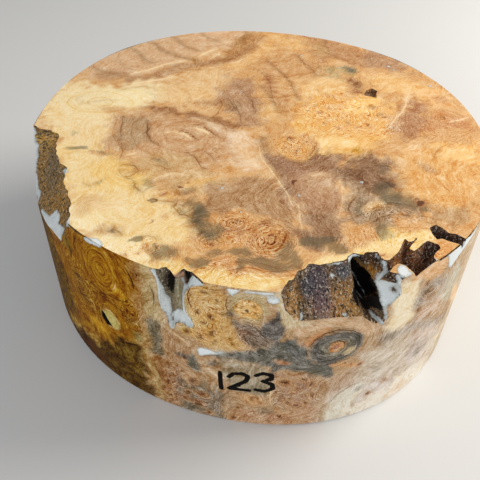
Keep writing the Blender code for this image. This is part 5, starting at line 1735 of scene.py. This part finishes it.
# %% Underside
material, tree = new_material("sawn maple burl, underside")
place = in_millimetres(tree)
clouds = lumps(tree, place, 1 / 12, 5.0, 0.6, 0.8)
fibres = lumps(tree, place, (1.0, 0.2, 1.0), 3.0, 0.55)
share = add_node(tree, "MapRange", [clouds, 0.35, 0.65], **SMOOTH)
tones = {0: share, 6: to_linear("#C99A66"), 7: to_linear("#A67A4C")}
colour = add_node(tree, "Mix", tones, **COLOURS)
share = add_node(tree, "MapRange", [fibres, 0.5, 0.8, 0.0, 0.4], **SMOOTH)
colour = add_node(tree, "Mix", {0: share, 6: colour, 7: to_linear("#E0BC8A")}, **COLOURS)
finish_material(tree, colour, 0.6)
burl.data.materials.append(material)

# %% Trapped bark
BLACK_BARK = to_linear("#140D09")
PALE_CHIP = to_linear("#D6CBBA")
DEEP_SHADE = to_linear("#0F0A07")
BARK_ROUGHNESS = 0.7
BARK_RELIEF = 0.5
material, tree = new_material("trapped maple bark")
place = in_millimetres(tree)
tint = read_paint(tree, "hollow_tint")[0]["Color"]
_, (_, dark, grainy) = read_paint(tree, "hollow_stain")
along = read_paint(tree, "hollow_grain")[0]["Vector"]
plates = lumps(tree, along, (0.5, 1.2, 0.9), 4.0, 0.8)
crumbs = lumps(tree, place, 1 / 0.9, 3.0, 0.7)
chips = lumps(tree, place, (1 / 0.7, 1 / 0.7, 0.8 / 0.7), 3.0, 0.7, 0.4)
deep = swing(tree, crumbs, 1.5, swing(tree, plates, 3.0, 1.0))
deep = add_node(tree, "Math", [deep, 0.4], operation="MAXIMUM")
colour = add_node(tree, "Gamma", [tint, deep])
black_share = faded(tree, grainy, plates, 0.49, 0.56, 0.0, 0.95)
colour = add_node(tree, "Mix", {0: black_share, 6: colour, 7: BLACK_BARK}, **COLOURS)
pale_share = faded(tree, grainy, chips, 0.56, 0.63, 0.0, 0.6)
colour = add_node(tree, "Mix", {0: pale_share, 6: colour, 7: PALE_CHIP}, **COLOURS)
# Painted shade: the bark's umber mask, broken up by crumbs, takes the colour toward near black.
shade = add_node(tree, "MapRange", [swing(tree, crumbs, 1.0, dark), 0.35, 0.75], **SMOOTH)
colour = add_node(tree, "Mix", {0: shade, 6: colour, 7: DEEP_SHADE}, **COLOURS)
relief = add_node(tree, "Math", [crumbs, plates], operation="ADD")
relief = add_node(tree, "Math", [relief, grainy], operation="MULTIPLY")
colour, roughness, relief = wax_and_ink(tree, colour, BARK_ROUGHNESS, relief, crumbs, 0.6)
finish_material(tree, colour, roughness, relief, BARK_RELIEF)
burl.data.materials.append(material)
print("materials:", [slot.name for slot in burl.data.materials])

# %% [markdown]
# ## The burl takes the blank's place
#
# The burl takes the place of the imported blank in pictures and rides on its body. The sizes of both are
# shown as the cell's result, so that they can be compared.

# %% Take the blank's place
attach(burl, "root")
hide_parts("burl_blank")


def plain_box(box):
    """A box as plain lists of numbers."""
    if hasattr(box, "items"):
        return {str(name): plain_box(part) for name, part in box.items()}
    if isinstance(box, (list, tuple)) or hasattr(box, "to_tuple"):
        return [plain_box(part) for part in box]
    return box if isinstance(box, (int, str, bool)) or box is None else float(box)


{"packed": plain_box(packed_box), "now": plain_box(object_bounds())}
